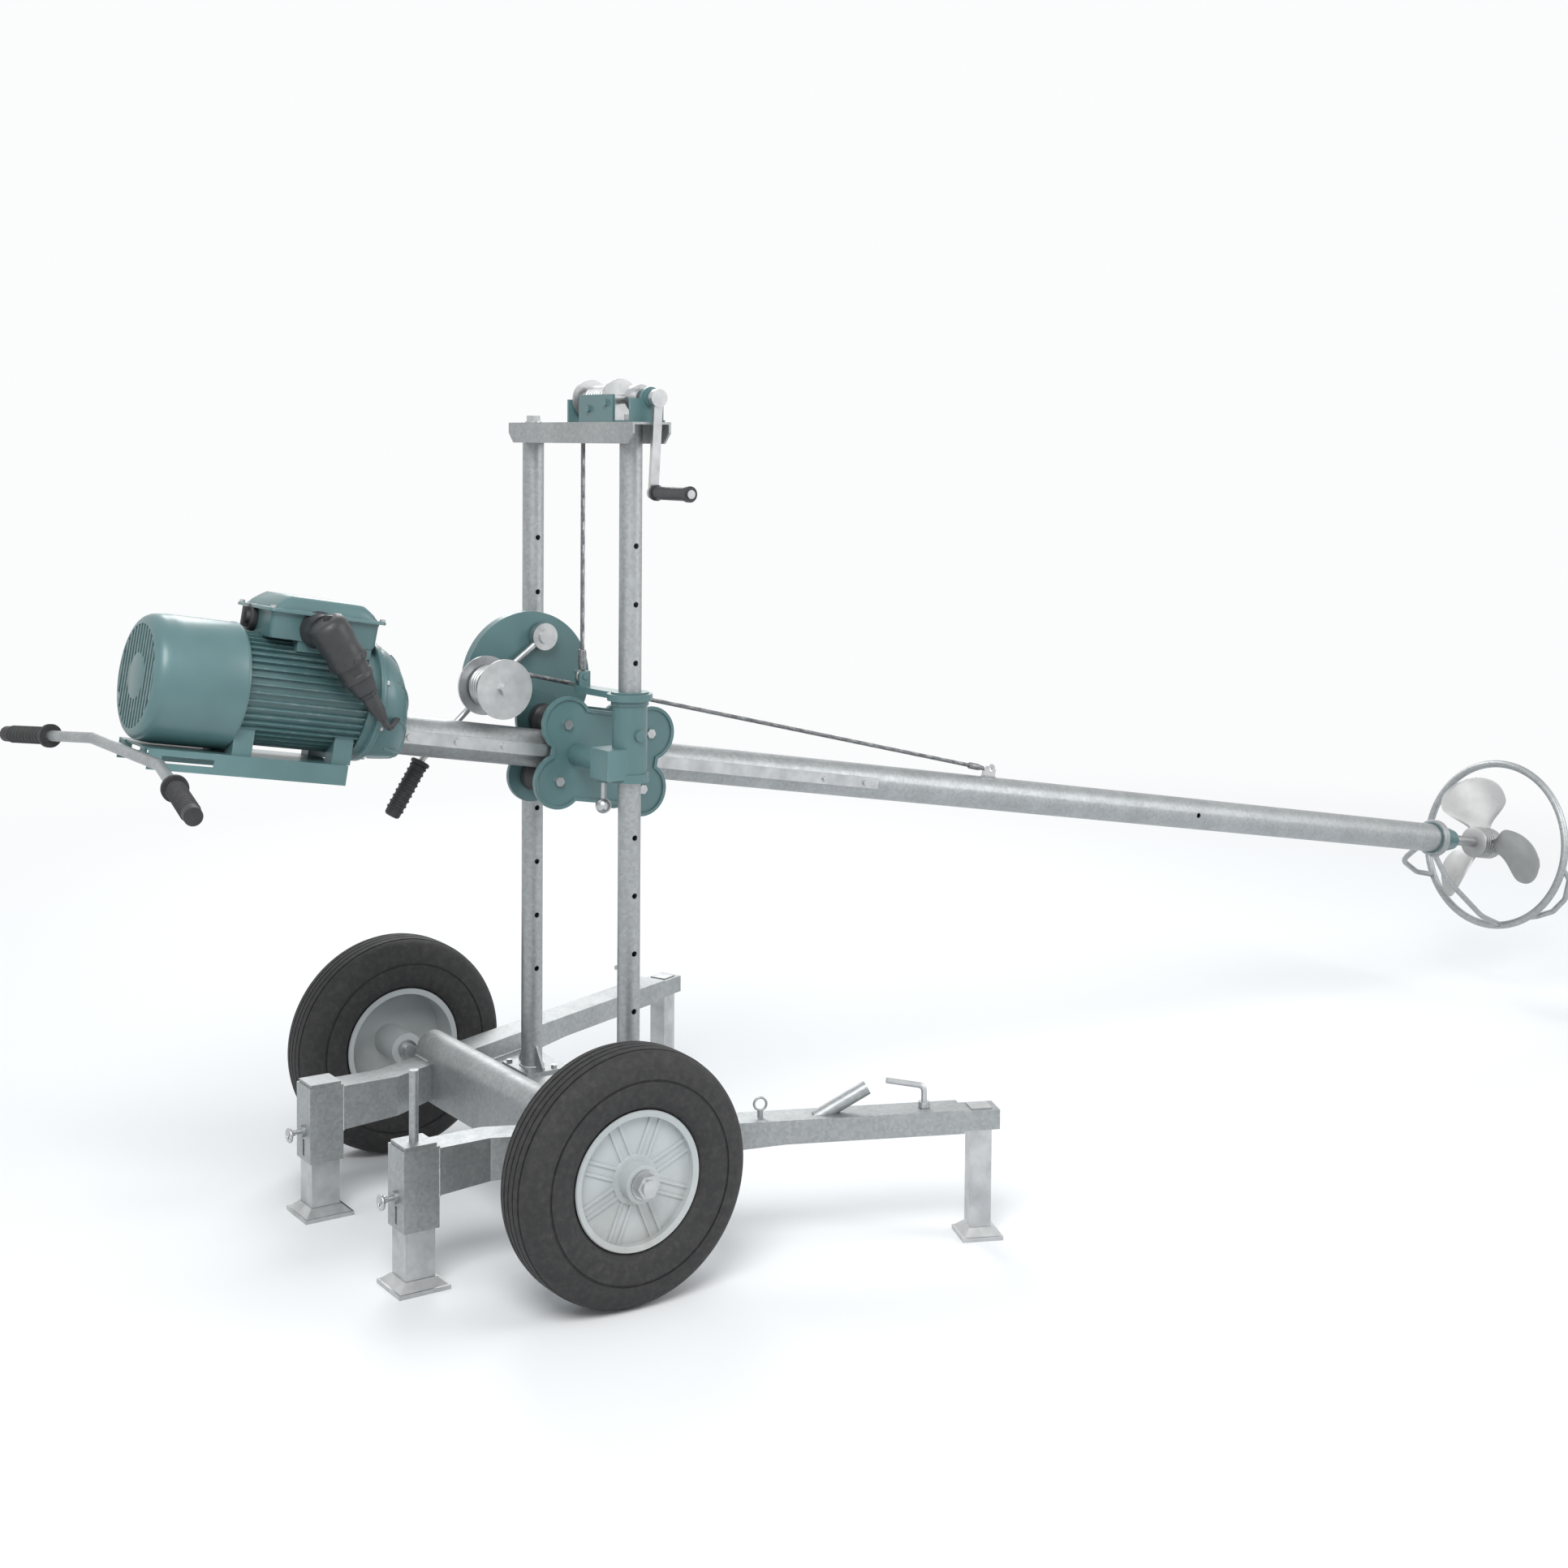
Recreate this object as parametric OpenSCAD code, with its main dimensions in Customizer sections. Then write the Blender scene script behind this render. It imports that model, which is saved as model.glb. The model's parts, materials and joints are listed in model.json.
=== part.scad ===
// Mobile electric agitator: a two-wheeled trolley with a twin-tube mast, a rocker with four rollers,
// and a long shaft tube with a motor at one end and a guarded propeller at the other.
// +X points from the mast to the propeller, +Y to the left, +Z up. The origin is on the ground,
// below the middle of the whole machine.

/* [Wheels] */
// Outer diameter of a tyre
tyre_d = 508; // [440:1:560]
// Width of a tyre
tyre_w = 130; // [110:1:145]
// Diameter of the rim flange
rim_d = 276; // [240:1:300]
// Distance between the wheel centres
track = 1080; // [1060:1:1160]
// Diameter of the axle
axle_d = 30; // [25:1:36]
// Outer diameter of a wheel hub
hub_d = 74; // [60:1:90]

/* [Chassis] */
// Width of a folded chassis beam
beam_w = 72; // [66:1:78]
// Height of a chassis beam at its rear end
beam_rear_h = 98; // [86:1:104]
// Height of a chassis beam ahead of its taper
beam_front_h = 50; // [46:1:56]
// Wall of a chassis beam
beam_wall = 4; // [3:0.1:5]
// Height of the beams' top faces over the ground
beam_top = 280; // [272:1:290]
// Distance of the beams' bends behind the axle
knee_x = 150; // [140:1:160]
// Height of the axle saddle over the beams
saddle_rise = 53; // [48:1:60]
// Width of the axle saddle
saddle_w = 80; // [70:1:90]
// Distance of the rear jacks behind the axle
jack_x = 308; // [295:1:350]
// Half the distance between the rear jacks
jack_y = 240; // [225:1:260]
// Distance of the front legs ahead of the axle
leg_x = 805; // [700:1:950]
// Half the distance between the front legs
leg_y = 645; // [620:1:670]
// Width of a square jack tube
jack_w = 76; // [72:1:84]
// Width of a square front leg
leg_w = 45; // [36:1:50]
// Width of a rear foot plate
foot_w = 110; // [100:1:120]
// Width of a front foot plate
front_foot_w = 88; // [80:1:96]
// Thickness of a foot plate
foot_t = 9; // [6:1:14]
// Width of the cross member under the mast
cross_w = 160; // [150:1:166]
// Height of the cross member under the mast
cross_h = 50; // [40:1:60]

/* [Mast] */
// Distance of the mast ahead of the axle
mast_x = 195; // [180:1:215]
// Half the distance between the mast tubes
mast_y = 218; // [205:1:230]
// Outer diameter of a mast tube
mast_d = 48.3; // [44:0.1:52]
// Wall of a mast tube
mast_wall = 3.6; // [2.5:0.1:5]
// Height of the head beam's top face
head_z = 1719; // [1650:1:1850]
// Width of the head beam
head_w = 92; // [84:1:110]
// Height of the head beam
head_h = 45; // [36:1:60]
// Distance between two pin holes in a mast tube
hole_pitch = 123; // [100:1:150]
// Diameter of a pin hole
hole_d = 12; // [8:0.5:16]

/* [Hoist winch] */
// Radius of the hoist drum's core
hoist_core_r = 20; // [16:1:24]
// Radius of the hoist drum's flanges
hoist_flange_r = 44; // [38:1:46]
// Length of the hoist crank arm
hoist_arm = 195; // [150:1:230]
// Diameter of both ropes
rope_d = 10; // [6:1:12]

/* [Carriage and rocker] */
// Height of the shaft tube's centre line at the mast
boom_z = 996; // [960:1:1040]
// Slope of the shaft tube down to the propeller
tilt = 9.4; // [6:0.1:12]
// Outer diameter of the carriage sleeve
sleeve_d = 80; // [74:1:88]
// Height of the carriage sleeve
sleeve_h = 190; // [184:1:220]
// Distance between two rollers along the shaft tube
roller_span = 210; // [190:1:240]
// Radius of a roller at its waist
roller_r = 20; // [17:0.5:24]
// Radius of a rocker plate's lobes
lobe_r = 60; // [52:1:62]
// Thickness of a rocker plate
plate_t = 6; // [4:0.5:8]
// Half the gap between the rocker plates
plate_y = 56; // [54:1:60]

/* [Haul winch] */
// Radius of the haul drum's core
haul_core_r = 36; // [28:1:40]
// Radius of the haul drum's flanges
haul_flange_r = 64; // [56:1:66]
// Radius of the gear case
case_r = 152; // [146:1:158]

/* [Shaft tube] */
// Outer diameter of the shaft tube
boom_d = 82.5; // [76:0.5:88.9]
// Wall of the shaft tube
boom_wall = 3.5; // [2.5:0.1:5]
// Length of the shaft tube behind the mast
boom_back = 450; // [440:1:480]
// Length of the shaft tube ahead of the mast
boom_front = 2930; // [2500:1:3300]
// Diameter of the drive shaft
shaft_d = 30; // [25:1:35]

/* [Motor] */
// Diameter of the fan cowl
cowl_d = 252; // [236:1:266]
// Length of the finned motor frame
frame_len = 300; // [270:1:340]
// Length of the fan cowl
cowl_len = 158; // [140:1:180]
// Height of the motor's centre line over the shaft tube's
motor_rise = 62; // [58:1:66]
// Number of cooling fins
fin_count = 44; // [30:1:52]
// Diameter of the handlebar tube
bar_d = 22; // [18:1:25]
// Diameter of a rubber grip
grip_d = 33; // [28:1:38]

/* [Propeller] */
// Radius of the propeller
prop_r = 205; // [180:1:222]
// Diameter of the propeller hub
prop_hub_d = 92; // [76:1:104]
// Number of propeller blades
blade_count = 3; // [2:1:4]
// Radius of the guard ring's centre line
guard_r = 245; // [238:1:260]
// Diameter of the guard ring's round bar
guard_bar_d = 22; // [16:1:26]

/* [Hidden] */
$fn = 48;

steel = [0.66, 0.69, 0.70];
paint = [0.38, 0.53, 0.54];
dark = [0.20, 0.22, 0.23];
rubber = [0.13, 0.13, 0.14];
bright = [0.78, 0.80, 0.81];

fit_gap = 0.05;
run_gap = 0.3;
seat_gap = 0.3;
axle_z = tyre_d / 2;
wheel_y = track / 2;
hub_len = tyre_w + 10;
axle_half = wheel_y + hub_len / 2 + 26;
beam_angle = atan2(leg_y - jack_y, leg_x + knee_x);
beam_run = norm([leg_x + knee_x, leg_y - jack_y]);
beam_z = beam_top - beam_front_h / 2;
taper_x = 400;
box_l = leg_w + 30;
beam_end = beam_run - box_l / 2 - 3;
inner_w = beam_w - 2 * beam_wall - 2 * run_gap;
inner_h = beam_front_h - 2 * beam_wall - 2 * run_gap;
inner_len = 330;
clamp_back = 80;
jack_wall = 6;
jack_top = beam_top + 5;
jack_bottom = 122;
screw_z = jack_bottom + 64;
leg_cap = jack_top - 72;
jack_leg_w = jack_w - 2 * jack_wall - 2 * run_gap;
leg_top = beam_z + inner_h / 2 + 3;
cross_top = beam_top - 40;
saddle_half = 330;
saddle_low = 190;
base_t = 8;
mast_foot = cross_top + base_t;
head_t = 5;
mast_top = head_z - head_t;
head_right = 303;
head_left = 250;

function beam_y(x) = jack_y + (x + knee_x) * tan(beam_angle);
cross_half = beam_y(mast_x);
axle_cut = axle_d + 1;

hoist_x = mast_x + 10;
hoist_z = head_z + hoist_flange_r + 5;
hoist_y1 = -150;
hoist_y2 = -30;
hoist_cheek = -282;
rope_x = hoist_x - hoist_core_r - rope_d / 2 - seat_gap;
rope_y = hoist_y2 - 10;
cheek_t = 6;
crank_shaft_d = 20;
crank_y = hoist_cheek - 32;
crank_lean = 3;
grip_pin_d = 12;
grip_run = 138;

function axis_z(x) = boom_z - (x - mast_x) * tan(tilt);
function boom_x(x, z) = (x - mast_x) * cos(tilt) - (z - boom_z) * sin(tilt);
function boom_up(x, z) = (x - mast_x) * sin(tilt) + (z - boom_z) * cos(tilt);
pivot_x = mast_x - 40;
pivot_z = axis_z(pivot_x);
pivot_l = boom_x(pivot_x, pivot_z);
pivot_d = 30;
trunnion_d = 46;
rocker_mid = 30;
roller_rise = boom_d / 2 + roller_r + 0.5;
roller_end_r = 34;
roller_half = plate_y - 1.2;
roller_bore = 12;
sleeve_top = pivot_z + 150;
sleeve_bottom = sleeve_top - sleeve_h;
collar_h = 28;
yoke_z = pivot_z + 132;
yoke_t = 14;
eye_z = yoke_z + yoke_t + 20;
rope_low = eye_z + 16;

drum_l = -228;
drum_up = roller_rise + 58;
drum_y = 48;
drum_bolt_d = 16;
boss_l = -86;
boss_up = 240;
case_l = -99;
case_up = 140;
case_y = 96;
case_t = 24;
lever_y = 80;
lever_t = 9;
haul_eye_l = 1176;
haul_eye_up = boom_d / 2 + 20;
haul_start_up = drum_up + haul_core_r + rope_d / 2 + seat_gap;

housing_back = boom_back + 90;
flange_t = 12;
motor_back = housing_back + frame_len;
cowl_back = motor_back + cowl_len;
frame_r = cowl_d / 2 - 14;
stator_r = 98;
rotor_r = 64;
motor_shaft_d = 36;
gear_module = 2 * motor_rise / 31;
pinion_teeth = 13;
wheel_teeth = 18;
gear_w = 26;
gear_l = -boom_back - 50;
tray_top = motor_rise - cowl_d / 2 - 2;
tray_h = 40;
tray_y = 92;
tray_front = housing_back + 34;
tray_back = motor_back + 140;
bar_l = -tray_back - bar_d / 2 - 6;
bar_up = tray_top - 18;
bar_half = 210;
box_back = motor_back - 116;
box_front = housing_back + 8;
box_y = 84;
box_low = motor_rise + frame_r - 6;
box_top = motor_rise + 186;
lid_z = box_top - 34;
plug_y = -box_y - 68;
plug_start = [-(box_back + box_front) / 2 - 44, plug_y, lid_z - 18];
plug_stop = [-box_front + 7, plug_y, 36];
lead_end = [-boom_back - flange_t - 2, -116, motor_rise - 30];
bar_out = [-60, 375, -42];
grip_len = 200;
grip_ribs = 11;
tail_len = 96;
prop_l = boom_front + 255;
prop_len = 104;
guard_l = prop_l + 52;

// The machine's rear end is a grip's end disc, its front end is the top of the guard ring.
grip_end = [bar_l, 0, bar_up] + bar_out * (1 + 6 / norm(bar_out));
grip_lean = (bar_out[0] * cos(tilt) + bar_out[2] * sin(tilt)) / norm(bar_out);
rear_end = mast_x + grip_end[0] * cos(tilt) + grip_end[2] * sin(tilt)
    - grip_d / 2 * sqrt(1 - grip_lean * grip_lean);
front_end = mast_x + guard_l * cos(tilt) + guard_r * sin(tilt) + guard_bar_d / 2;
frame_x = -(rear_end + front_end) / 2;

function unit(v) = v / norm(v);
function bend_cut(points, i, r) =
    r * tan(acos(unit(points[i] - points[i - 1]) * unit(points[i + 1] - points[i])) / 2);

// Puts its children in the shaft tube's own frame: x along the tube, z square to it.
module on_boom() {
    translate([mast_x, 0, boom_z])
        rotate([0, tilt, 0])
            children();
}

// A cylinder along x from x1 to x2.
module rod_x(d, x1, x2) {
    translate([x1, 0, 0])
        rotate([0, 90, 0])
            cylinder(d = d, h = x2 - x1);
}

// A cylinder along y from y1 to y2.
module rod_y(d, y1, y2) {
    translate([0, y1, 0])
        rotate([-90, 0, 0])
            cylinder(d = d, h = y2 - y1);
}

// A hollow cylinder along x from x1 to x2.
module pipe_x(d, bore, x1, x2) {
    difference() {
        rod_x(d, x1, x2);
        rod_x(bore, x1 - 1, x2 + 1);
    }
}

// A box given by its low and high corners.
module block(low, high) {
    translate(low)
        cube(high - low);
}

// A hexagon head or nut along y, across flats w.
module hex_y(w, y1, y2) {
    translate([0, y1, 0])
        rotate([-90, 0, 0])
            cylinder(d = w / cos(30), h = y2 - y1, $fn = 6);
}

// A hexagon head or nut along z, across flats w.
module hex_z(w, z1, z2) {
    translate([0, 0, z1])
        cylinder(d = w / cos(30), h = z2 - z1, $fn = 6);
}

// A round bar through a list of points, with a bend of radius r at each inner one.
module bent_bar(points, d, r) {
    last = len(points) - 1;
    for (i = [0 : last - 1]) {
        along = unit(points[i + 1] - points[i]);
        start = points[i] + along * (i == 0 ? 0 : bend_cut(points, i, r) - 0.5);
        stop = points[i + 1] - along * (i == last - 1 ? 0 : bend_cut(points, i + 1, r) - 0.5);
        translate(start)
            rotate([0, acos(along[2]), atan2(along[1], along[0])])
                cylinder(d = d, h = norm(stop - start));
    }
    if (last > 1)
        for (i = [1 : last - 1])
            let (
                u = unit(points[i] - points[i - 1]),
                v = unit(points[i + 1] - points[i]),
                turn = acos(u * v),
                n = unit(cross(u, v)),
                c = points[i] + unit(v - u) * r / cos(turn / 2),
                e = cross(u, n)
            )
                multmatrix([
                    [e[0], u[0], n[0], c[0]],
                    [e[1], u[1], n[1], c[1]],
                    [e[2], u[2], n[2], c[2]],
                    [0, 0, 0, 1]
                ])
                    rotate_extrude(angle = turn)
                        translate([r, 0])
                            circle(d = d + 0.4);
}

// Puts its children at the bend of a beam, with x along its front part.
module on_beam(side) {
    translate([-knee_x, side * jack_y, beam_z])
        rotate([0, 0, side * beam_angle])
            children();
}

// Shifts its children so that the origin lies under the middle of the whole machine.
module placed() {
    translate([frame_x, 0, 0])
        children();
}

// Tyre with a rounded section and grooves round its tread.
module tyre(side) {
    inner_r = rim_d / 2 - 8;
    mid_r = (axle_z + inner_r) / 2;
    half_h = (axle_z - inner_r) / 2;
    section = [for (a = [0 : 9 : 351])
        [
            mid_r + half_h * sign(cos(a)) * pow(abs(cos(a)), 0.72),
            tyre_w / 2 * sign(sin(a)) * pow(abs(sin(a)), 0.62)
        ]];
    translate([0, side * wheel_y, axle_z])
        rotate([90, 0, 0])
            difference() {
                rotate_extrude($fn = 96)
                    polygon(section);
                for (k = [-2 : 2])
                    rotate_extrude($fn = 96)
                        translate([axle_z - 7, k * tyre_w * 0.13 - 2])
                            square([12, 4]);
                for (s = [-1, 1])
                    translate([0, 0, s * tyre_w / 2])
                        rotate_extrude($fn = 96)
                            translate([rim_d / 2 + 57, -3])
                                square([5, 6]);
            }
}

// Pressed steel wheel: barrel with flared flanges, dished disc with radial ribs, and hub.
module rim(side) {
    flange_r = rim_d / 2;
    barrel_r = flange_r - 8 - seat_gap;
    inner_r = barrel_r - 5;
    barrel_half = tyre_w / 2 - 14;
    disc_y = tyre_w / 2 - 34;
    boss_r = hub_d / 2 + 13;
    hub_half = hub_len / 2;
    rib_count = 8;
    translate([0, side * wheel_y, axle_z])
        rotate([side * 90, 0, 0])
            mirror([0, 0, 1])
                rotate([0, 0, 22.5])
                    difference() {
                        union() {
                            rotate_extrude($fn = 96)
                                polygon([
                                    [0, -hub_half], [hub_d / 2, -hub_half], [hub_d / 2, disc_y],
                                    [inner_r, disc_y], [inner_r, -barrel_half],
                                    [flange_r - 2, -barrel_half - 3], [flange_r, -barrel_half],
                                    [barrel_r, -barrel_half + 6], [barrel_r, barrel_half - 6],
                                    [flange_r, barrel_half], [flange_r - 2, barrel_half + 3],
                                    [inner_r, barrel_half], [inner_r, disc_y + 5],
                                    [boss_r, disc_y + 5], [boss_r - 2, disc_y + 10],
                                    [hub_d / 2, disc_y + 10], [hub_d / 2, hub_half], [0, hub_half]
                                ]);
                            for (k = [0 : rib_count - 1])
                                for (e = [-1, 1])
                                    rotate([0, 0, k * 360 / rib_count])
                                        block([boss_r - 3, e * 11 - 3, disc_y + 3],
                                              [inner_r + 2, e * 11 + 3, disc_y + 8]);
                        }
                        translate([0, 0, -hub_len])
                            cylinder(d = axle_d + 2 * fit_gap, h = 2 * hub_len);
                    }
}

module right_tyre() {
    color(rubber) placed()
        tyre(-1);
}

module left_tyre() {
    color(rubber) placed()
        tyre(1);
}

module right_rim() {
    color(steel) placed()
        rim(-1);
}

module left_rim() {
    color(steel) placed()
        rim(1);
}

// One axle through both beams, with a thrust collar inside each wheel.
module axle() {
    collar_y = wheel_y - hub_len / 2 - 1;
    color(bright) placed()
        translate([0, 0, axle_z]) {
            rod_y(axle_d, -axle_half, axle_half);
            for (s = [-1, 1])
                rod_y(axle_d + 14, s * collar_y - (s > 0 ? 8 : 0), s * collar_y + (s > 0 ? 0 : 8));
        }
}

// Nuts on the axle and mast tubes, and the bolts of the mast's base plates.
module frame_fasteners() {
    nut_y = wheel_y + hub_len / 2 + 1;
    color(bright) placed() {
        for (s = [-1, 1])
            translate([0, 0, axle_z])
                difference() {
                    union() {
                        if (s > 0) {
                            rod_y(56, nut_y, nut_y + 4);
                            hex_y(42, nut_y + 4, nut_y + 20);
                        } else {
                            rod_y(56, -nut_y - 4, -nut_y);
                            hex_y(42, -nut_y - 20, -nut_y - 4);
                        }
                    }
                    rod_y(axle_d + 2 * fit_gap, -axle_half - 9, axle_half + 9);
                }
        for (s = [-1, 1])
            translate([mast_x, s * mast_y, 0]) {
                hex_z(30, head_z + 3, head_z + 16);
                translate([0, 0, head_z])
                    cylinder(d = 38, h = 3);
                for (dx = [-1, 1])
                    for (dy = [-1, 1])
                        translate([dx * 33, dy * 46, 0])
                            hex_z(13, mast_foot, mast_foot + 7);
            }
    }
}

// Outline of a bent, tapered beam, drawn in by a distance on all its faces but the front one.
module beam_form(side, inset) {
    half = beam_w / 2 - inset;
    reach = beam_end + (inset > 0 ? 1 : 0);
    bend = half / cos(beam_angle / 2);
    along = [cos(beam_angle), sin(beam_angle)];
    square_to = [-sin(beam_angle), cos(beam_angle)];
    knee = [-knee_x, jack_y];
    corner = bend * [-sin(beam_angle / 2), cos(beam_angle / 2)];
    tip = knee + along * reach;
    low_rear = beam_top - beam_rear_h + inset;
    low_front = beam_top - beam_front_h + inset;
    mirror([0, side < 0 ? 1 : 0, 0])
        intersection() {
            translate([0, 0, low_rear - 1])
                linear_extrude(beam_top - inset - low_rear + 1)
                    polygon([
                        [-jack_x, jack_y - half], knee - corner, tip - half * square_to,
                        tip + half * square_to, knee + corner, [-jack_x, jack_y + half]
                    ]);
            translate([0, leg_y + beam_w, 0])
                rotate([90, 0, 0])
                    linear_extrude(leg_y + beam_w)
                        polygon([
                            [-jack_x - 1, low_rear], [taper_x, low_front], [leg_x, low_front],
                            [leg_x, beam_top], [-jack_x - 1, beam_top]
                        ]);
        }
}

// Folded chassis beam, hollow and open in front, with the axle's cross hole and its clamp's hole.
module beam(side) {
    difference() {
        beam_form(side, 0);
        beam_form(side, beam_wall);
        on_beam(side)
            translate([beam_end - clamp_back, 0, 0])
                cylinder(d = 13, h = beam_front_h);
        translate([0, 0, axle_z])
            rod_y(axle_cut, -axle_half, axle_half);
        jack_block(side, jack_w + 2 * fit_gap, jack_bottom, jack_top);
    }
}

module side_beams() {
    color(steel) placed() {
        beam(-1);
        beam(1);
    }
}

// Flat box section that ties the beams together and carries the mast.
module cross_member() {
    wall = 4;
    half_w = cross_w / 2;
    low = cross_top - cross_h;
    color(steel) placed()
        difference() {
            block([mast_x - half_w, -cross_half, low], [mast_x + half_w, cross_half, cross_top]);
            block([mast_x - half_w + wall, -cross_half - 1, low + wall],
                  [mast_x + half_w - wall, cross_half + 1, cross_top - wall]);
            beam_form(-1, -fit_gap);
            beam_form(1, -fit_gap);
        }
}

// Round-topped saddle over the axle. It stands on both beams and reaches down between them.
module axle_saddle() {
    wall = 5;
    top_r = saddle_w / 2;
    arch_z = beam_top + saddle_rise - top_r;
    difference() {
        union() {
            translate([0, 0, arch_z])
                rod_y(saddle_w, -saddle_half, saddle_half);
            block([-top_r, -saddle_half, saddle_low], [top_r, saddle_half, arch_z]);
        }
        translate([0, 0, arch_z])
            rod_y(saddle_w - 2 * wall, -saddle_half - 1, saddle_half + 1);
        block([wall - top_r, -saddle_half - 1, saddle_low - 1], [top_r - wall, saddle_half + 1, arch_z]);
        for (s = [-1, 1]) {
            beam_form(s, -fit_gap);
            translate([0, s * (beam_y(0) + saddle_half) - saddle_half, 0])
                block([-top_r - 1, 0, saddle_low - 1], [top_r + 1, 2 * saddle_half, beam_top]);
        }
    }
}

// Base plate under a mast tube, with two gussets.
module mast_plate(s) {
    translate([mast_x, s * mast_y, cross_top]) {
        block([-44, -62, 0], [44, 62, base_t]);
        for (e = [-1, 1])
            rotate([90, 0, 90])
                translate([0, 0, -3])
                    linear_extrude(6)
                        polygon([
                            [e * (mast_d / 2 + fit_gap), base_t - 1],
                            [e * 58, base_t - 1],
                            [e * 58, base_t + 6],
                            [e * (mast_d / 2 + fit_gap), 58]
                        ]);
    }
}

module frame_plates() {
    color(steel) placed() {
        axle_saddle();
        mast_plate(-1);
        mast_plate(1);
    }
}

// An upright square block at a rear jack.
module jack_block(side, w, z1, z2) {
    translate([-jack_x, side * jack_y, 0])
        block([-w / 2, -w / 2, z1], [w / 2, w / 2, z2]);
}

// Square rear jack tube with a slot and a threaded boss for its clamp, and a capped top.
module jack_tube(side) {
    half = jack_w / 2;
    color(steel) placed() {
        difference() {
            jack_block(side, jack_w, jack_bottom, jack_top);
            jack_block(side, jack_w - 2 * jack_wall, jack_bottom - 1, jack_top - 5);
            translate([-jack_x, side * jack_y, screw_z])
                rod_x(10.2, -jack_w, 0);
            translate([-jack_x, side * jack_y, 0])
                block([-jack_w, -5, jack_bottom + 10], [-half + jack_wall + 2, 5, screw_z - 18]);
        }
        jack_block(side, jack_w - 8, jack_top, jack_top + 7);
        translate([-jack_x, side * jack_y, 0]) {
            translate([0, 0, screw_z])
                difference() {
                    rod_x(26, -half - 7, 1 - half);
                    rod_x(10.2, -jack_w, 0);
                }
            if (side < 0)
                translate([0, 0, jack_top + 7])
                    cylinder(d = 19, h = 142);
        }
    }
}

module right_jack_tube() {
    jack_tube(-1);
}

module left_jack_tube() {
    jack_tube(1);
}

// Flared square foot: a plate with a sloping skirt up to the leg.
module foot(w, leg) {
    block([-w / 2, -w / 2, 0], [w / 2, w / 2, foot_t]);
    hull() {
        block([4 - w / 2, 4 - w / 2, foot_t - 1], [w / 2 - 4, w / 2 - 4, foot_t]);
        block([-leg / 2 - 2, -leg / 2 - 2, foot_t], [leg / 2 + 2, leg / 2 + 2, foot_t + 15]);
    }
}

// Telescopic square jack leg on a flared foot.
module jack_leg(side) {
    color(bright) placed() {
        jack_block(side, jack_leg_w, foot_t, leg_cap);
        translate([-jack_x, side * jack_y, 0])
            foot(foot_w, jack_leg_w);
    }
}

module right_jack_leg() {
    jack_leg(-1);
}

module left_jack_leg() {
    jack_leg(1);
}

// Clamp screw with a ring handle, in the boss of a jack tube.
module jack_clamp(side) {
    ring_x = -jack_w / 2 - 32;
    color(bright) placed()
        translate([-jack_x, side * jack_y, screw_z]) {
            rod_x(10, ring_x + 8, -jack_leg_w / 2 - run_gap);
            translate([ring_x, 0, -4])
                rotate([90, 0, 90])
                    rotate_extrude()
                        translate([13, 0])
                            circle(d = 7, $fn = 24);
            rod_x(14, ring_x - 3, ring_x + 12);
        }
}

module right_jack_clamp() {
    jack_clamp(-1);
}

module left_jack_clamp() {
    jack_clamp(1);
}

// Telescopic outrigger: a rectangular tube with a square leg socket at its closed end.
module outrigger(side) {
    wall = 4;
    socket = leg_w / 2 + run_gap;
    color(steel) placed()
        on_beam(side)
            difference() {
                block([beam_end - inner_len, -inner_w / 2, -inner_h / 2],
                      [beam_run + box_l / 2, inner_w / 2, inner_h / 2]);
                block([beam_end - inner_len - 1, wall - inner_w / 2, wall - inner_h / 2],
                      [beam_run - box_l / 2, inner_w / 2 - wall, inner_h / 2 - wall]);
                block([beam_run - socket, -socket, -inner_h], [beam_run + socket, socket, inner_h]);
            }
}

module right_outrigger() {
    outrigger(-1);
}

module left_outrigger() {
    outrigger(1);
}

// Front leg: square tube with a top cap on a flared foot plate.
module front_leg(side) {
    wall = 4;
    half = leg_w / 2;
    color(bright) placed()
        translate([leg_x, side * leg_y, 0])
            rotate([0, 0, side * beam_angle]) {
                difference() {
                    block([-half, -half, foot_t], [half, half, leg_top]);
                    block([wall - half, wall - half, foot_t + 16], [half - wall, half - wall, leg_top - wall]);
                }
                foot(front_foot_w, leg_w);
            }
}

module right_front_leg() {
    front_leg(-1);
}

module left_front_leg() {
    front_leg(1);
}

// L-handled screw through the top of a beam that clamps its outrigger.
module leg_clamp(side) {
    top = beam_front_h / 2;
    color(bright) placed()
        on_beam(side)
            translate([beam_end - clamp_back, 0, 0]) {
                translate([0, 0, top + 1])
                    cylinder(d = 24, h = 12);
                bent_bar([
                    [0, 0, inner_h / 2 + run_gap],
                    [0, 0, top + 46],
                    [-82, 0, top + 62]
                ], 12, 14);
            }
}

module right_leg_clamp() {
    leg_clamp(-1);
}

module left_leg_clamp() {
    leg_clamp(1);
}

// Stub tube on top of the right beam for a tow bar, and the ring pin beside it.
module drawbar_socket() {
    stub_l = 700;
    stub_d = 30;
    stub_lean = 28;
    pin_l = 565;
    top = beam_front_h / 2;
    color(steel) placed() {
        difference() {
            on_beam(-1)
                translate([stub_l, 0, top])
                    rotate([0, -stub_lean, 0])
                        difference() {
                            rod_x(stub_d, -20, 105);
                            rod_x(stub_d - 6, 20, 106);
                        }
            beam_form(-1, -fit_gap);
        }
        on_beam(-1)
            translate([pin_l, 0, 0]) {
                translate([0, 0, top + fit_gap])
                    cylinder(d = 12, h = 14);
                translate([0, 0, top + 27])
                    rotate([90, 0, 0])
                        rotate_extrude()
                            translate([13, 0])
                                circle(d = 5, $fn = 24);
            }
    }
}

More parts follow.
